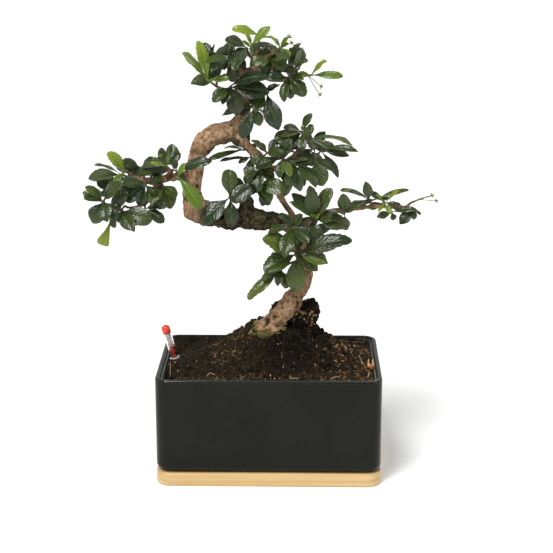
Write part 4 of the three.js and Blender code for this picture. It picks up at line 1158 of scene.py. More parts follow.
def make_soil(material):
    """The soil: a fine grid raised to the heap's shape, roughened, with sides down to the liner's floor."""
    walls = POT_WALL + 2 * GAP + LINER_WALL
    half_x, half_y, corner = POT_LENGTH / 2 - walls, POT_DEPTH / 2 - walls, POT_CORNER - walls
    bpy.ops.mesh.primitive_grid_add(x_subdivisions=SOIL_GRID[0], y_subdivisions=SOIL_GRID[1], size=2)
    soil = added("potting_mix")
    pick(soil, "FACE", lambda face: True)
    outward(soil)
    flat = points_of(soil) * MM
    x, y = flat[:, 0] * half_x, flat[:, 1] * half_y
    over_x, over_y = np.abs(x) - (half_x - corner), np.abs(y) - (half_y - corner)
    away = np.hypot(np.maximum(over_x, 0), np.maximum(over_y, 0))
    pull = np.where((over_x > 0) & (over_y > 0) & (away > corner), corner / np.maximum(away, 1e-9), 1)
    x = np.where(pull < 1, np.sign(x) * (half_x - corner + over_x * pull), x)
    y = np.where(pull < 1, np.sign(y) * (half_y - corner + over_y * pull), y)
    height = banked_top(x, y)
    lift = np.gradient(height.reshape(SOIL_GRID[1] + 1, SOIL_GRID[0] + 1))
    steep = np.hypot(*lift).ravel()
    place = np.stack([x, y, height], axis=1)
    put_points(soil, place)
    normals = np.array([point.normal for point in soil.data.vertices])
    rough = np.array([
        1.7 * soil_noise(p, 9, 1) + 1.5 * soil_noise(p, 4.2, 4) + 0.9 * abs(soil_noise(p, 2.1, 9))
        + 0.4 * soil_noise(p, 1.1, 6) for p in place])
    edge = np.minimum(np.minimum(half_x - np.abs(x), half_y - np.abs(y)) / 2, 1)
    rough *= (0.8 + np.clip(steep, 0, 4) * 0.35) * np.clip(edge, 0.15, 1)
    place += normals * rough[:, None] * np.clip(edge, 0, 1)[:, None]
    place[:, 2] += 0.3 * rough * (edge < 1)
    place[:, 0] -= waist_shift(place[:, 0], place[:, 2])
    bored = np.hypot(*(place[:, :2] - GAUGE_BASE[:2]).T) < SHAFT_RADIUS - 0.2
    place[bored, 2] = SOIL_HEIGHT - BORE_DEPTH
    put_points(soil, place)
    # The third mark is the painted shade over the heap's middle; the first, the steepness, also paints
    # shade on steep faces
    mark(soil, np.clip(steep / 3, 0, 1), moss_share(place), PAINTED_SHADE_PATCH.over(x, y))
    pick(soil, "EDGE", lambda edge: len(edge.link_faces) == 1)
    bpy.ops.mesh.extrude_edges_move(TRANSFORM_OT_translate=dict(value=(0, 0, -20 * MM)))
    shape = bmesh.from_edit_mesh(soil.data)
    for point in shape.verts:
        if point.select:
            point.co.z = (LINER_FLOOR + LINER_WALL + GAP) * MM
    bpy.ops.mesh.edge_face_add()
    return finished(outward(soil), material, "potting_soil", "soil", sharp=75)


def moss_share(place):
    """Where moss grows on the heap: on its left flank, by the trunk's foot."""
    x, y, z = np.asarray(place).T
    near = np.hypot((x - MOSS_PATCH[0]) / MOSS_REACH[0], (z - MOSS_PATCH[2]) / MOSS_REACH[1])
    return fade(near, 1.25, -1) * fade(y, 10, -14)


def make_grain_patterns(count, rough, seed):
    """Rough grains, each about 1 in radius, to copy."""
    grains = []
    for k in range(count):
        bpy.ops.mesh.primitive_ico_sphere_add(subdivisions=2, radius=1)
        grain = added(f"grain_{k}")
        place = points_of(grain) * MM
        swell = [1 + rough * noise.noise(Vector(p) * 1.3 + Vector((seed + 7 * k, 0, 0))) for p in place]
        put_points(grain, place * np.array(swell)[:, None] / MM)
        grains.append(grain)
    return grains


def soil_spot(rng, zone):
    """A random place on the soil in a zone, at or over its lowest height and clear of the gauge."""
    across, along, lowest = zone
    while True:
        x, y = rng.uniform(*across), rng.uniform(*along)
        z = soil_face_height(x, y)
        if z > lowest and math.hypot(x - GAUGE_BASE[0], y - GAUGE_BASE[1]) > GAUGE_CLEARANCE:
            return x - waist_shift(x, z), y, z


# Zones of the bed: their x and y ranges and their lowest height
WHOLE_BED = ((-100.5, 100.5), (-64.5, 64.5), 0)
FRONT_EDGE = ((-98, 100), (-64.5, -54), 0)
CLIFF = ((38, 64), (-40, 40), 0)
HEAP = ((-60, 60), (-55, 40), 0)
RIGHT_BED = ((45, 100), (-64, 30), 0)
CLOD_TOP = ((4, 58), (-18, 34), 0)
CLOD_CREST = ((20, 60), (-18, 4), 146)
LEFT_FLANK = ((-58, -14), (-34, 14), 0)
MOSSY_FLANK = ((-62, 4), (-40, 6), 0)
# Fibres: how many, their zone, the ranges of their length and thickness, and how far they lift
FIBRES = [
    (330, WHOLE_BED, (3, 11), (0.1, 0.22), 1.2), (150, FRONT_EDGE, (3, 10), (0.12, 0.28), 1.4),
    (110, HEAP, (3, 10), (0.1, 0.2), 1.6), (170, RIGHT_BED, (3, 9), (0.12, 0.26), 1.6),
    (90, LEFT_FLANK, (4, 12), (0.12, 0.24), 2.2), (90, CLOD_TOP, (3, 8), (0.1, 0.2), 2.4),
]


def scatter(name, grains, rng, jobs, material, sharp=40):
    """Grains copied over the soil: each job gives how many, the zone, the sizes and the proportions."""
    parts = []
    for count, zone, (small, large), shape in jobs:
        for _ in range(count):
            x, y, z = soil_spot(rng, zone)
            size = small + (large - small) * rng.random() ** 2
            place = points_of(rng.choice(grains)) * MM * np.array(shape) * size
            turn = random_turn(rng)
            piece = copied(grains[0], "grain")
            put_points(piece, place @ turn + (x, y, z + 0.35 * size * min(shape)))
            parts.append(mark(piece, rng.random()))
    return finished(joined(name, parts), material, "potting_soil", sharp=sharp)


def random_turn(rng):
    """A turn any way round the upright and a lesser tilt."""
    turn, tip, roll = rng.uniform(0, 2 * math.pi), rng.uniform(-0.6, 0.6), rng.uniform(-0.6, 0.6)
    about_z = [[math.cos(turn), math.sin(turn), 0], [-math.sin(turn), math.cos(turn), 0], [0, 0, 1]]
    about_x = [[1, 0, 0], [0, math.cos(tip), math.sin(tip)], [0, -math.sin(tip), math.cos(tip)]]
    about_y = [[math.cos(roll), 0, -math.sin(roll)], [0, 1, 0], [math.sin(roll), 0, math.cos(roll)]]
    return np.array(about_x) @ np.array(about_y) @ np.array(about_z)


def fibre_route(rng, zone, lengths, sizes, rise):
    """A thin fibre that lies over the soil and lifts off it here and there."""
    reach, thick = rng.uniform(*lengths), rng.uniform(*sizes)
    x, y, _ = soil_spot(rng, zone)
    heading, bend = rng.uniform(0, 2 * math.pi), rng.uniform(-0.5, 0.5)
    rows = []
    for k in range(6):
        z = soil_face_height(x, y) + 0.5 + rise * rng.random()
        rows.append((x - waist_shift(x, z), y, z, thick * (0.35 if k in (0, 5) else 1)))
        x = max(-101, min(101, x + reach / 5 * math.cos(heading)))
        y = max(-65, min(65, y + reach / 5 * math.sin(heading)))
        heading += bend + rng.uniform(-0.35, 0.35)
    return rows


def make_litter(peat, fibre, perlite, chip, straw, moss):
    """Crumbs, perlite, bark chips, straws, fibres and moss on the soil."""
    rng = random.Random(41)
    grains = make_grain_patterns(6, 0.9, 3)
    scatter("peat_crumbs", grains, rng, [
        (560, WHOLE_BED, (0.5, 2.4), (1, 0.85, 0.75)), (180, FRONT_EDGE, (0.5, 2), (1, 0.8, 0.7)),
        (260, CLIFF, (0.9, 3.2), (1, 0.9, 0.8)), (240, HEAP, (0.6, 2.6), (1, 0.85, 0.75)),
        (90, CLOD_TOP, (0.9, 2.8), (1, 0.9, 0.8))], peat)
    scatter("perlite_grains", grains, rng, [(34, WHOLE_BED, (0.3, 0.7), (1, 0.9, 0.8))], perlite)
    scatter("bark_chips", grains, rng, [
        (110, FRONT_EDGE, (0.9, 3), (1, 0.36, 0.22)), (150, WHOLE_BED, (0.6, 2.6), (1, 0.34, 0.2)),
        (240, RIGHT_BED, (0.7, 3), (1, 0.34, 0.22))], chip)
    scatter("straw_bits", grains, rng, [
        (90, FRONT_EDGE, (0.8, 3), (1, 0.2, 0.16)), (90, WHOLE_BED, (0.6, 2.2), (1, 0.22, 0.16)),
        (170, RIGHT_BED, (0.7, 2.8), (1, 0.22, 0.16)), (40, CLOD_TOP, (0.4, 1), (1, 0.6, 0.5)),
        (360, CLOD_CREST, (0.35, 1.1), (1, 0.7, 0.6)),
        (210, LEFT_FLANK, (0.5, 1.6), (1, 0.4, 0.3))], straw)
    drop(grains)
    routes = [fibre_route(rng, *kind) for count, *kind in FIBRES for _ in range(count)]
    finished(strands("peat_fibres", routes, 4), fibre, "potting_soil")
    make_straws(straw)
    sprigs = []
    while len(sprigs) < MOSS_SPRIGS:
        x, y, z = soil_spot(rng, MOSSY_FLANK)
        if float(moss_share([[x, y, z]])[0]) > rng.random() * 1.1:
            tilt = [rng.uniform(-1.2, 1.2), rng.uniform(-1.6, 0.6), rng.uniform(1.2, 2.8)]
            foot = [x, y, z - 0.2]
            sprigs.append([[*foot, 0.3], [*add(foot, tilt, 0.6), 0.32], [*add(foot, tilt), 0.07]])
    finished(strands("moss_sprigs", sprigs, 4), moss, "potting_soil")


# Longer bits that lie on the bed, each as the places it passes over and its thickness at its two ends
STRAWS = [
    (((89, -8), (92, -19), (95, -31), (98, -43)), 0.3, 0.2),
    (((98, -44), (97, -49), (96, -55)), 0.7, 0.4),
    (((-99, -16), (-98, -26), (-97.6, -38)), 0.32, 0.22),
    (((-60, -55), (-58, -50), (-55, -49), (-52.4, -52), (-53, -55)), 0.5, 0.3),
    (((60, -60), (66, -57), (71, -58)), 0.5, 0.3), (((20, -61), (26, -63), (33, -61.5)), 0.45, 0.3),
    (((84, 36), (90, 47), (97, 52)), 0.35, 0.2), (((74, 30), (80, 41), (83, 50)), 0.3, 0.2),
    (((12, -32), (14, -42), (15, -50)), 0.16, 0.1),
]


def make_straws(material):
    """A few longer straws and shavings that show on the bed."""
    routes = []
    for places, thick, thin in STRAWS:
        last = len(places) - 1
        routes.append(smoothed([
            (x, y, soil_face_height(x, y) + 1.1 + 0.5 * math.sin(2 * k), thick + (thin - thick) * k / last)
            for k, (x, y) in enumerate(places)], 3))
    return finished(mark(strands("long_straws", routes, 6), 0.5), material, "potting_soil")


def make_dry_leaf(material):
    """A dead leaf, dried to a crumpled cup, against the bed's right end."""
    bpy.ops.mesh.primitive_grid_add(x_subdivisions=14, y_subdivisions=14, size=2)
    leaf = added("dry_leaf")
    u, v, _ = (points_of(leaf) * MM).T
    reach = np.hypot(u, v)
    round_u, round_v = u * np.sqrt(1 - v**2 / 2), v * np.sqrt(1 - u**2 / 2)
    folds = np.array([noise.noise(Vector((a * 1.9, b * 1.9, 4))) for a, b in zip(u, v)])
    turn = np.arctan2(v, u)
    lift = 3.4 * reach**2 + 2.6 * folds + np.sin(9 * turn) * reach**3
    x, y, z = DRY_LEAF_PLACE
    spread = DRY_LEAF_SIZE * (1 - 0.25 * reach)
    put_points(leaf, np.stack([x + spread * round_u, y + spread * round_v + 0.4 * lift, z + lift], axis=1))
    mark(leaf, np.clip(reach - 0.25 + 0.5 * folds, 0, 1))
    modified(leaf, "SOLIDIFY", thickness=0.35 * MM, offset=0)
    modified(leaf, "SUBSURF", levels=1, render_levels=1)
    return finished(leaf, material, "bark", sharp=60)


# The wood

# Lumps of the bark: how far across, how high and where their noise starts
BARK_LUMPS = [(14, 2, (0, 0, 0)), (6.5, 1.7, (5, 0, 0)), (3.4, 0.8, (0, 4, 9))]


def bark_relief(place, radius):
    """How far bark stands out at a place, and how deep in a dark pit the place is."""
    p = Vector(place)
    lumps = sum(rise * noise.noise(p / size + Vector(shift)) for size, rise, shift in BARK_LUMPS)
    seam = abs(noise.noise(Vector((p.x / 4.2, p.y / 4.2, p.z / 9)) + Vector((0, 8, 0))))
    seam = max(0.0, 1 - seam / 0.09)
    hole = max(0.0, noise.noise(p / 6 + Vector((3, 3, 11))) - 0.33) / 0.3
    grain = noise.noise(p / 1.9) * 0.28
    size = min(radius / 8, 1.2)
    out = size * (lumps - 0.75 * seam - 2.4 * min(hole, 1)) + grain * min(size * 2, 1)
    for knot, reach, rise in KNOTS:
        gap = (p - Vector(knot)).length / reach
        if gap < 2:
            out += rise * math.exp(-2 * gap * gap)
    return out, min(1.0, seam * 0.55 + min(hole, 1) * 1.2)


def make_wood(material):
    """Trunk, branches and roots fused into one skin with bark relief, and the thin twigs that leave it."""
    thick = [smoothed(route) for route in [TRUNK_ROUTE, *BRANCH_ROUTES, *ROOT_ROUTES]]
    wood = strands("trunk_wood", thick, 16)
    modified(wood, "REMESH", mode="VOXEL", voxel_size=WOOD_VOXEL * MM, adaptivity=0)
    modified(wood, "SMOOTH", factor=0.5, iterations=4)
    rows = [row for route in thick for row in route]
    tree = kdtree.KDTree(len(rows))
    for i, row in enumerate(rows):
        tree.insert(row[:3], i)
    tree.balance()
    place = points_of(wood)
    normals = np.array([point.normal for point in wood.data.vertices])
    relief = np.empty(len(place))
    marks = np.zeros((len(place), 4))
    for i, p in enumerate(place):
        radius = rows[tree.find(p)[1]][3]
        relief[i], marks[i, 2] = bark_relief(p, radius)
        marks[i, 0] = fade(radius, TWIG_RADIUS, TWIG_RADIUS)
        marks[i, 1] = (MOSS_TOP - p[2] + 16 * noise.noise(Vector(p) / 7)) / 8
    x, _, z = place.T
    marks[:, 1] = np.clip(marks[:, 1], 0, 1) * fade(x, 24, -14)
    left, right, low, high = LICHEN_STRETCH
    marks[:, 3] = fade(x, left, 28) * fade(x, right, -10) * fade(z, high, -6)
    # Painted shade: the arc's downward faces take the dark lichen colour through the fourth mark
    arc_underside_shade = np.clip(-1.3 * normals[:, 2] - 0.1, 0, 0.7) * (z > ARC_LOW) * (x < ARC_RIGHT)
    marks[:, 3] = np.clip(marks[:, 3] * (z > low - 4) + stub_top(place) + arc_underside_shade, 0, 1)
    put_points(wood, place + normals * relief[:, None])
    mark(wood, *marks.T)
    twigs = mark(strands("twig_wood", [smoothed(route, 3) for route in TWIG_ROUTES], 8))
    wood = joined("trunk_wood", [wood, twigs])
    return finished(wood, material, "bark", "trunk_and_branches", sharp=70)


def make_moss_fuzz(wood, material):
    """Short sprigs of moss all over the trunk's foot."""
    rng = random.Random(77)
    layer = wood.data.attributes["mark"]
    marks = np.empty(4 * len(layer.data))
    layer.data.foreach_get("color", marks)
    place = points_of(wood)
    in_sight = place[:, 2] > banked_top(place[:, 0], place[:, 1]) - 1
    tufted = np.array([noise.noise(Vector(p) / 2.6) > -0.12 for p in place])
    mossy = np.flatnonzero((marks.reshape(-1, 4)[:, 1] > 0.35) & in_sight & tufted)
    sprigs = []
    for i in rng.sample(list(mossy), min(FOOT_SPRIGS, len(mossy))):
        foot, out = list(place[i]), list(wood.data.vertices[i].normal)
        tip = add(foot, out, rng.uniform(1, 2.6))
        tip = add(tip, [rng.uniform(-0.6, 0.6), rng.uniform(-0.6, 0.6), 0.3])
        sprigs.append([[*add(foot, out, -0.2), 0.4], [*mix(foot, tip, 0.6), 0.48], [*tip, 0.14]])
    fuzz = strands("foot_moss", sprigs, 4)
    bits = np.repeat([rng.random() for _ in sprigs], len(fuzz.data.vertices) // len(sprigs))
    mark(fuzz, np.resize(bits, len(fuzz.data.vertices)))
    return finished(fuzz, material, "bark")


def stub_top(place):
    """The sawn top of the old stub, which has gone dark and mossy."""
    gap = np.asarray(place) - STUB_TOP
    return np.clip(1.9 - np.sqrt((gap**2).sum(axis=1)) / 9, 0, 1)


# Finishes

class Wire:
    """A number carried from one node to the next, with arithmetic that adds the nodes for it."""

    def __init__(self, finish, socket):
        self.finish = finish
        self.socket = socket

    def math(self, operation, *values, clamp=False):
        sockets = dict(enumerate(values))
        return self.finish.node("ShaderNodeMath", {"operation": operation, "use_clamp": clamp}, sockets)

    def __add__(self, other):
        return self.math("ADD", self, other)

    def __radd__(self, other):
        return self.math("ADD", other, self)

    def __sub__(self, other):
        return self.math("SUBTRACT", self, other)

    def __rsub__(self, other):
        return self.math("SUBTRACT", other, self)

    def __mul__(self, other):
        return self.math("MULTIPLY", self, other)

    def __rmul__(self, other):
        return self.math("MULTIPLY", other, self)

    def clamped(self):
        return self.math("ADD", self, 0, clamp=True)

    def ramp(self, low, high):
        """0 below low, 1 above high and smooth between them."""
        return self.finish.node("ShaderNodeMapRange", {"interpolation_type": "SMOOTHSTEP"},
                                {"Value": self, "From Min": low, "From Max": high})


class Finish:
    """One material: a Principled surface and the nodes that feed it."""

    def __init__(self, name, **surface):
        self.material = bpy.data.materials.new(name)
        self.material.use_nodes = True
        self.tree = self.material.node_tree
        self.shader = next(node for node in self.tree.nodes if node.type == "BSDF_PRINCIPLED")
        for label, value in surface.items():
            self.feed(label.replace("_", " ").title(), value)

    def feed(self, label, value):
        """Sets a socket of the surface, or links a wire to it."""
        label = label.replace("Ior", "IOR")
        if isinstance(value, Wire):
            self.tree.links.new(value.socket, self.shader.inputs[label])
        else:
            self.shader.inputs[label].default_value = value

    def node(self, kind, settings=None, sockets=None, output=0):
        """Adds a node, with its settings first and then the values or wires of its sockets."""
        node = self.tree.nodes.new(kind)
        for key, value in (settings or {}).items():
            if key == "stops":
                stops = node.color_ramp.elements
                while len(stops) < len(value):
                    stops.new(0.5)
                for stop, (position, colour) in zip(stops, value):
                    stop.position = position
                    stop.color = (*colour, 1)
            else:
                setattr(node, key, value)
        for key, value in (sockets or {}).items():
            if isinstance(value, Wire):
                self.tree.links.new(value.socket, node.inputs[key])
            else:
                node.inputs[key].default_value = value
        return Wire(self, node.outputs[output])

    def place(self, stretch=(1, 1, 1), turn=(0, 0, 0)):
        """Object coordinates in millimetres, stretched and turned."""
        own = self.node("ShaderNodeTexCoord", output="Object")
        scale = tuple(1000 * value for value in stretch)
        return self.node("ShaderNodeMapping", {"vector_type": "POINT"},
                         {"Vector": own, "Scale": scale, "Rotation": turn})

    def noise(self, size, place=None, detail=3, roughness=0.55, distortion=0.0):
        """Cloudy noise whose lumps are about this many millimetres across."""
        return self.node("ShaderNodeTexNoise", {}, {
            "Vector": place or self.place(), "Scale": 1 / size, "Detail": detail, "Roughness": roughness,
            "Distortion": distortion})

    def cells(self, size, place):
        """The distance from the nearest of many points about this many millimetres apart."""
        return self.node("ShaderNodeTexVoronoi", {}, {"Vector": place, "Scale": 1 / size}, "Distance")

    def mark(self, output="Color"):
        """The piece's own mark attribute."""
        return self.node("ShaderNodeAttribute", {"attribute_name": "mark"}, output=output)

    def split(self, wire, kind="Color"):
        """The three channels of a colour, or of a place with the kind XYZ."""
        first = self.node("ShaderNodeSeparate" + kind, {}, {0: wire})
        return [Wire(self, output) for output in first.socket.node.outputs]

    def blend(self, share, low, high):
        """A colour between two, by a share."""
        def full(colour):
            return colour if isinstance(colour, Wire) else (*colour, 1)
        return self.node("ShaderNodeMix", {"data_type": "RGBA"}, {0: share, 6: full(low), 7: full(high)}, 2)

    def layered(self, colour, *layers):
        """A colour with others laid over it in turn, each by its share."""
        for share, over in layers:
            colour = self.blend(share, colour, over)
        return colour

    def toned(self, share, *stops):
        """A colour from a row of stops, by a share."""
        return self.node("ShaderNodeValToRGB", {"stops": stops}, {0: share})

    def done(self, colour, relief, step, roughness=None):
        """Feeds the colour, any roughness, and a relief whose full step is this many millimetres."""
        self.feed("Base Color", colour)
        if roughness:
            self.feed("Roughness", roughness)
        self.feed("Normal", self.node("ShaderNodeBump", {}, {"Height": relief, "Distance": step * MM}))
        return self.material


def glossy_leaf():
    """Leathery leaves: dark and glossy when grown, yellow-green when young, with a pale rib."""
    finish = Finish("glossy_leaf", specular_ior_level=0.5, coat_roughness=0.06, coat_ior=1.45)
    tone, under, youth = finish.split(finish.mark())
    stem = finish.mark("Alpha")
    u, v, _ = finish.split(finish.node("ShaderNodeUVMap", {"uv_map": "blade"}), "XYZ")
    u = (u - 0.5) * 2
    across = u.math("ABSOLUTE", u)
    rib = 1 - across.ramp(0.012, 0.075)
    comb = v * 7.5 - across * 2.2
    comb = comb.math("FRACT", comb) - 0.5
    side_vein = (1 - comb.math("ABSOLUTE", comb).ramp(0.0, 0.1)) * (1 - across.ramp(0.75, 1.0))
    cloud = finish.noise(7)
    season = finish.noise(38, detail=1)
    pucker = finish.noise(2.6, detail=2)
    fleck = finish.noise(0.9, detail=2)
    grown = finish.layered(
        (0.0075, 0.021, 0.003), (tone, (0.042, 0.068, 0.007)),
        (season.ramp(0.52, 0.66) * 0.5, (0.052, 0.054, 0.02)),
        (cloud.ramp(0.45, 0.75) * 0.35, (0.046, 0.062, 0.014)),
        (rib * 0.5 + side_vein * 0.2, (0.12, 0.16, 0.035)))
    fresh = finish.layered(
        (0.09, 0.165, 0.002), (tone, (0.19, 0.285, 0.006)),
        (v.ramp(0.55, 1.05) * tone * 0.5, (0.46, 0.52, 0.06)),
        (rib * 0.55 + side_vein * 0.2, (0.42, 0.52, 0.1)))
    upper = finish.blend(youth, grown, fresh)
    pale = finish.blend(youth, (0.07, 0.088, 0.034), (0.15, 0.25, 0.045))
    blade = finish.blend(under * 0.85, upper, pale)
    bark = finish.blend(youth, (0.08, 0.046, 0.026), (0.12, 0.17, 0.03))
    finish.feed("Coat Weight", (1 - under) * (1 - stem) * 0.12)
    relief = cloud * 0.5 + pucker * 0.8 + fleck * 0.08 - rib * 0.5 - side_vein * 0.7
    matt = under * 0.3 + stem * 0.4 + youth * 0.08
    return finish.done(finish.blend(stem, blade, bark), relief, 1, 0.15 + matt + cloud * 0.12)


def old_bark():
    """Pinkish tan bark with dark pits and cracks, darker and lichened along its level stretch, and darkened
    as painted shade under the arc.
    """
    finish = Finish("old_bark", specular_ior_level=0.2)
    age, moss, pit = finish.split(finish.mark())
    lichen_and_shade = finish.mark("Alpha")
    broad = finish.noise(14, detail=4)
    patches = finish.noise(4, detail=5, roughness=0.7)
    grain = finish.noise(0.9, detail=4, roughness=0.75)
    pores = finish.cells(4.2, finish.place((1, 1, 0.8)))
    scars = finish.noise(2.4, finish.place((1, 1, 0.45)), detail=4, roughness=0.75, distortion=0.8)
    tuft = finish.noise(0.9, detail=4, roughness=0.7)
    dark = pit * 0.9 + (1 - pores.ramp(0.08, 0.2)) * 0.5 + (1 - scars.ramp(0.32, 0.4)) * 0.7
    old = finish.layered(
        (0.014, 0.009, 0.004), (patches.ramp(0.42, 0.6), (0.08, 0.07, 0.028)),
        (grain.ramp(0.55, 0.7) * 0.5, (0.21, 0.18, 0.095)))
    bark = finish.toned(
        patches * 0.5 + broad * 0.5, (0.32, (0.08, 0.04, 0.018)), (0.43, (0.25, 0.14, 0.07)),
        (0.54, (0.43, 0.28, 0.16)), (0.66, (0.72, 0.57, 0.42)))
    bark = finish.layered(
        bark, (broad.ramp(0.48, 0.62) * 0.45, (0.33, 0.165, 0.08)),
        # the fourth mark holds real lichen and the stub's top, and painted shade under the arc
        (scars.ramp(0.55, 0.68) * 0.4, (0.6, 0.5, 0.36)), (lichen_and_shade, old),
        (dark.clamped(), (0.018, 0.011, 0.006)))
    twig = finish.blend(patches.ramp(0.35, 0.65), (0.1, 0.05, 0.026), (0.28, 0.165, 0.09))
    green = finish.layered(
        (0.022, 0.018, 0.006), (tuft.ramp(0.4, 0.62), (0.34, 0.29, 0.09)),
        (scars.ramp(0.52, 0.64) * 0.4, (0.3, 0.2, 0.11)))
    mossy = (moss * patches.ramp(0.34, 0.5)).clamped()
    relief = grain * 0.5 + patches * 1.1 + scars * 0.8 - dark * 0.7 + tuft * moss * 1.6
    return finish.done(finish.layered(twig, (age, bark), (mossy, green)), relief, 1.2, 0.72 + grain * 0.25)


def wet_peat():
    """Very dark brown peat, with reddish-brown and black patches, darkened as painted shade on steep faces
    and in a patch over the heap's middle.
    """
    finish = Finish("wet_peat", specular_ior_level=0.12)
    steep, moss, painted_shade = finish.split(finish.mark())
    broad = finish.noise(22)
    patches = finish.noise(3.2, detail=6, roughness=0.75)
    grain = finish.noise(0.8, detail=5, roughness=0.8)
    strands = finish.noise(1.1, finish.place((1, 0.25, 1), (0, 0, 0.7)), detail=4, distortion=2.2)
    peat = finish.toned(
        patches * 0.5 + grain * 0.5, (0.4, (0.0012, 0.001, 0.0008)), (0.5, (0.009, 0.0072, 0.0048)),
        (0.57, (0.034, 0.025, 0.015)), (0.68, (0.16, 0.11, 0.06)))
    peat = finish.layered(
        peat, (broad.ramp(0.45, 0.65) * 0.35, (0.024, 0.013, 0.006)),
        (strands.ramp(0.56, 0.7) * 0.6 * (1 - steep * 0.6), (0.2, 0.125, 0.055)),
        # painted shade: steep faces and the heap's middle darkened towards black
        ((steep * 0.8 + painted_shade * 0.65).clamped(), (0.0018, 0.0015, 0.0012)),
        ((moss * patches.ramp(0.4, 0.6)).clamped() * 0.25, (0.05, 0.045, 0.016)))
    return finish.done(peat, grain + patches * 0.8 + strands * 0.5, 1.1, 0.75 + grain * 0.25)


def marked(name, low, high, roughness, size=2.0):
    """A plain finish between two colours by each bit's own mark and a fine cloud."""
    finish = Finish(name, roughness=roughness, specular_ior_level=0.1)
    tone = finish.split(finish.mark())[0]
    cloud = finish.noise(size)
    share = (tone * 0.7 + cloud * 0.6 - 0.15).clamped()
    return finish.done(finish.blend(share, low, high), cloud, 0.25)


def dark_glaze():
    """Thick black-green glaze: deep gloss, slightly wavy, with a paler painted reflection along the rim's
    top.
    """
    finish = Finish("dark_glaze", specular_ior_level=0.14, coat_roughness=0.04, coat_ior=1.6)
    height = finish.split(finish.node("ShaderNodeTexCoord", output="Object"), "XYZ")[2]
    finish.feed("Coat Weight", height.ramp((RIM_HEIGHT - 3.2) * MM, (RIM_HEIGHT - 1.8) * MM) * 0.22)
    # Painted reflection: the top of the rim is coloured paler grey-green
    lip_highlight = height.ramp((RIM_HEIGHT - 1.6) * MM, (RIM_HEIGHT - 0.4) * MM)
    broad = finish.noise(60, detail=2)
    flow = finish.noise(14, finish.place((1, 1, 0.5)), detail=2)
    speck = finish.noise(0.5, detail=2)
    colour = finish.layered(
        (0.0062, 0.0069, 0.0042), (broad.ramp(0.35, 0.65), (0.0086, 0.0094, 0.0058)),
        (speck.ramp(0.62, 0.75) * 0.25, (0.03, 0.032, 0.024)), (lip_highlight, (0.024, 0.029, 0.024)))
    return finish.done(colour, flow + broad * 2 + speck * 0.012, 0.3, 0.06 + flow * 0.07)


def laminated_bamboo():
    """Pale bamboo strips glued side by side, with long fibres and a satin lacquer."""
    finish = Finish("laminated_bamboo", specular_ior_level=0.3)
    strips = finish.noise(3.4, finish.place((0.008, 0.5, 1)), detail=1)
    fibres = finish.noise(0.6, finish.place((0.02, 1, 1)), detail=4, roughness=0.75)
    broad = finish.noise(30, finish.place((0.3, 1, 1)))
    colour = finish.toned(
        strips * 0.5 + broad * 0.25 + fibres * 0.25, (0.32, (0.42, 0.26, 0.105)),
        (0.45, (0.56, 0.38, 0.17)), (0.58, (0.64, 0.455, 0.22)), (0.75, (0.7, 0.53, 0.3)))
    colour = finish.blend(fibres.ramp(0.55, 0.68) * 0.5, colour, (0.4, 0.24, 0.095))
    return finish.done(colour, fibres + strips * 0.8, 0.15, 0.4 + fibres * 0.2)


def moulded_plastic(name, colour, roughness, grain=0.06):
    """Plastic of one colour, a little paler in clouds, with a fine grain."""
    finish = Finish(name, roughness=roughness)
    cloud = finish.noise(5)
    fine = finish.noise(0.35, detail=2)
    paler = tuple(min(1, 1.5 * part) for part in colour)
    return finish.done(finish.blend(cloud * 0.5, colour, paler), fine + cloud, grain)


def clear_plastic():
    """The gauge's clear tube, very slightly hazed."""
    finish = Finish("clear_plastic", transmission_weight=1.0, ior=1.46)
    haze = finish.noise(3)
    return finish.done((0.97, 0.98, 0.98, 1), haze, 0.05, 0.02 + haze * 0.05)


def dried_leaf():
    """A dead leaf: rust orange in the middle and straw pale at its torn edge."""
    finish = Finish("dried_leaf", roughness=0.75, specular_ior_level=0.15)
    edge = finish.split(finish.mark())[0]
    cloud = finish.noise(1.6)
    colour = finish.layered(
        (0.2, 0.045, 0.01), (cloud.ramp(0.35, 0.65), (0.52, 0.17, 0.035)),
        ((edge * 2 + cloud - 1.7).clamped(), (0.72, 0.54, 0.3)))
    return finish.done(colour, cloud, 0.4)


# Floor, lights and camera

FLOOR_GLOW = 0.08
SKY_STRENGTH = 0.44
# Each light's kind, strength, place and settings
LIGHTS = dict(
    sun=("SUN", 2.35, (-0.8, -1.2, 2.4), dict(angle=math.radians(23))),
    key_softbox=("AREA", 8, (-0.75, -1.35, 1.25), dict(shape="RECTANGLE", size=0.4, size_y=0.2)),
    fill_softbox=("AREA", 4, (1.6, -0.55, 1.1), dict(shape="RECTANGLE", size=0.35, size_y=0.14)),
    back_softbox=("AREA", 4, (0.5, 1.3, 1.3), dict(shape="SQUARE", size=0.8)),
)
LIT_POINT = (0, 0, 0.22)


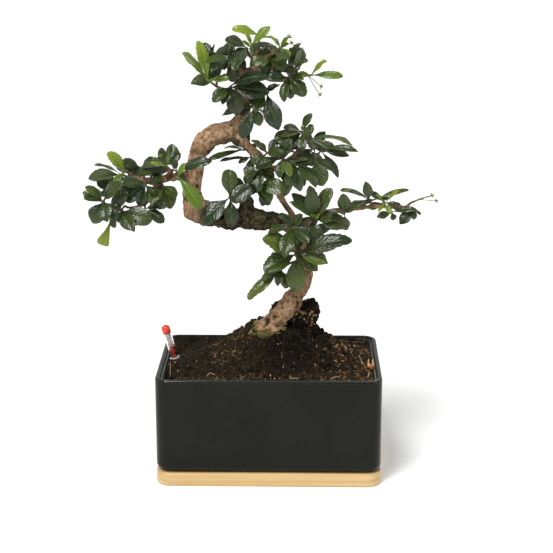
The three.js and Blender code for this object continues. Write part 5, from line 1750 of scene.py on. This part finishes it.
def make_studio():
    """A plain pale floor, a soft sky, a broad sun and three soft boxes."""
    bpy.ops.mesh.primitive_circle_add(vertices=64, radius=30, fill_type="NGON", location=(0, 0, 0))
    floor = added("floor")
    finish = Finish("pale_floor", base_color=(0.95, 0.95, 0.95, 1), roughness=0.9, specular_ior_level=0.1,
                    emission_color=(1, 1, 1, 1), emission_strength=FLOOR_GLOW)
    floor.data.materials.append(finish.material)
    scene = bpy.context.scene
    world = scene.world or bpy.data.worlds.new("sky")
    scene.world = world
    world.use_nodes = True
    sky = next(node for node in world.node_tree.nodes if node.type == "BACKGROUND")
    sky.inputs["Color"].default_value = (1, 1, 0.965, 1)
    sky.inputs["Strength"].default_value = SKY_STRENGTH
    for name, (kind, strength, place, settings) in LIGHTS.items():
        light = bpy.data.lights.new(name, kind)
        light.energy = strength
        for key, value in settings.items():
            setattr(light, key, value)
        lamp = bpy.data.objects.new(name, light)
        lamp.location = place
        lamp.rotation_euler = (Vector(LIT_POINT) - Vector(place)).to_track_quat("-Z", "Y").to_euler()
        bpy.context.collection.objects.link(lamp)


def make_camera():
    """The camera at the photograph's viewing angle."""
    camera = bpy.data.cameras.new("camera")
    camera.sensor_width = 36
    camera.lens = FOCAL_PIXELS / FRAME_PIXELS * camera.sensor_width
    camera.clip_end = 100
    view = bpy.data.objects.new("camera", camera)
    view.location = [value * MM for value in CAMERA_PLACE]
    view.rotation_euler = (math.radians(90 - CAMERA_PITCH), 0, math.radians(CAMERA_YAW))
    bpy.context.collection.objects.link(view)
    bpy.context.scene.camera = view
    bpy.context.scene.view_settings.view_transform = "Standard"


def make_all():
    """The camera, every piece in its finish, and the studio."""
    make_camera()
    make_tray(laminated_bamboo())
    make_pot(dark_glaze())
    make_liner(moulded_plastic("liner_grey", (0.06, 0.07, 0.062), 0.42))
    make_eyelet(moulded_plastic("loop_black", (0.008, 0.008, 0.009), 0.22))
    make_soil(wet_peat())
    make_litter(
        marked("peat_bits", (0.0025, 0.002, 0.0016), (0.026, 0.017, 0.01), 0.95),
        marked("fibre_brown", (0.03, 0.017, 0.008), (0.3, 0.19, 0.09), 0.8, size=7),
        marked("perlite_white", (0.5, 0.48, 0.43), (0.85, 0.83, 0.78), 0.8),
        marked("chip_brown", (0.06, 0.03, 0.013), (0.42, 0.21, 0.08), 0.8),
        marked("straw_tan", (0.16, 0.1, 0.045), (0.6, 0.45, 0.25), 0.8),
        marked("moss_olive", (0.03, 0.028, 0.012), (0.13, 0.12, 0.05), 0.85, size=4))
    make_dry_leaf(dried_leaf())
    make_gauge(clear_plastic(), moulded_plastic("signal_red", (0.62, 0.045, 0.022), 0.22, 0.03),
               moulded_plastic("cream_card", (0.74, 0.72, 0.63), 0.3, 0.02))
    wood = make_wood(old_bark())
    make_moss_fuzz(wood, marked("fuzz_olive", (0.03, 0.025, 0.008), (0.42, 0.36, 0.13), 0.85, size=2.2))
    make_foliage(glossy_leaf())
    make_studio()


make_all()
bpy.context.view_layer.update()
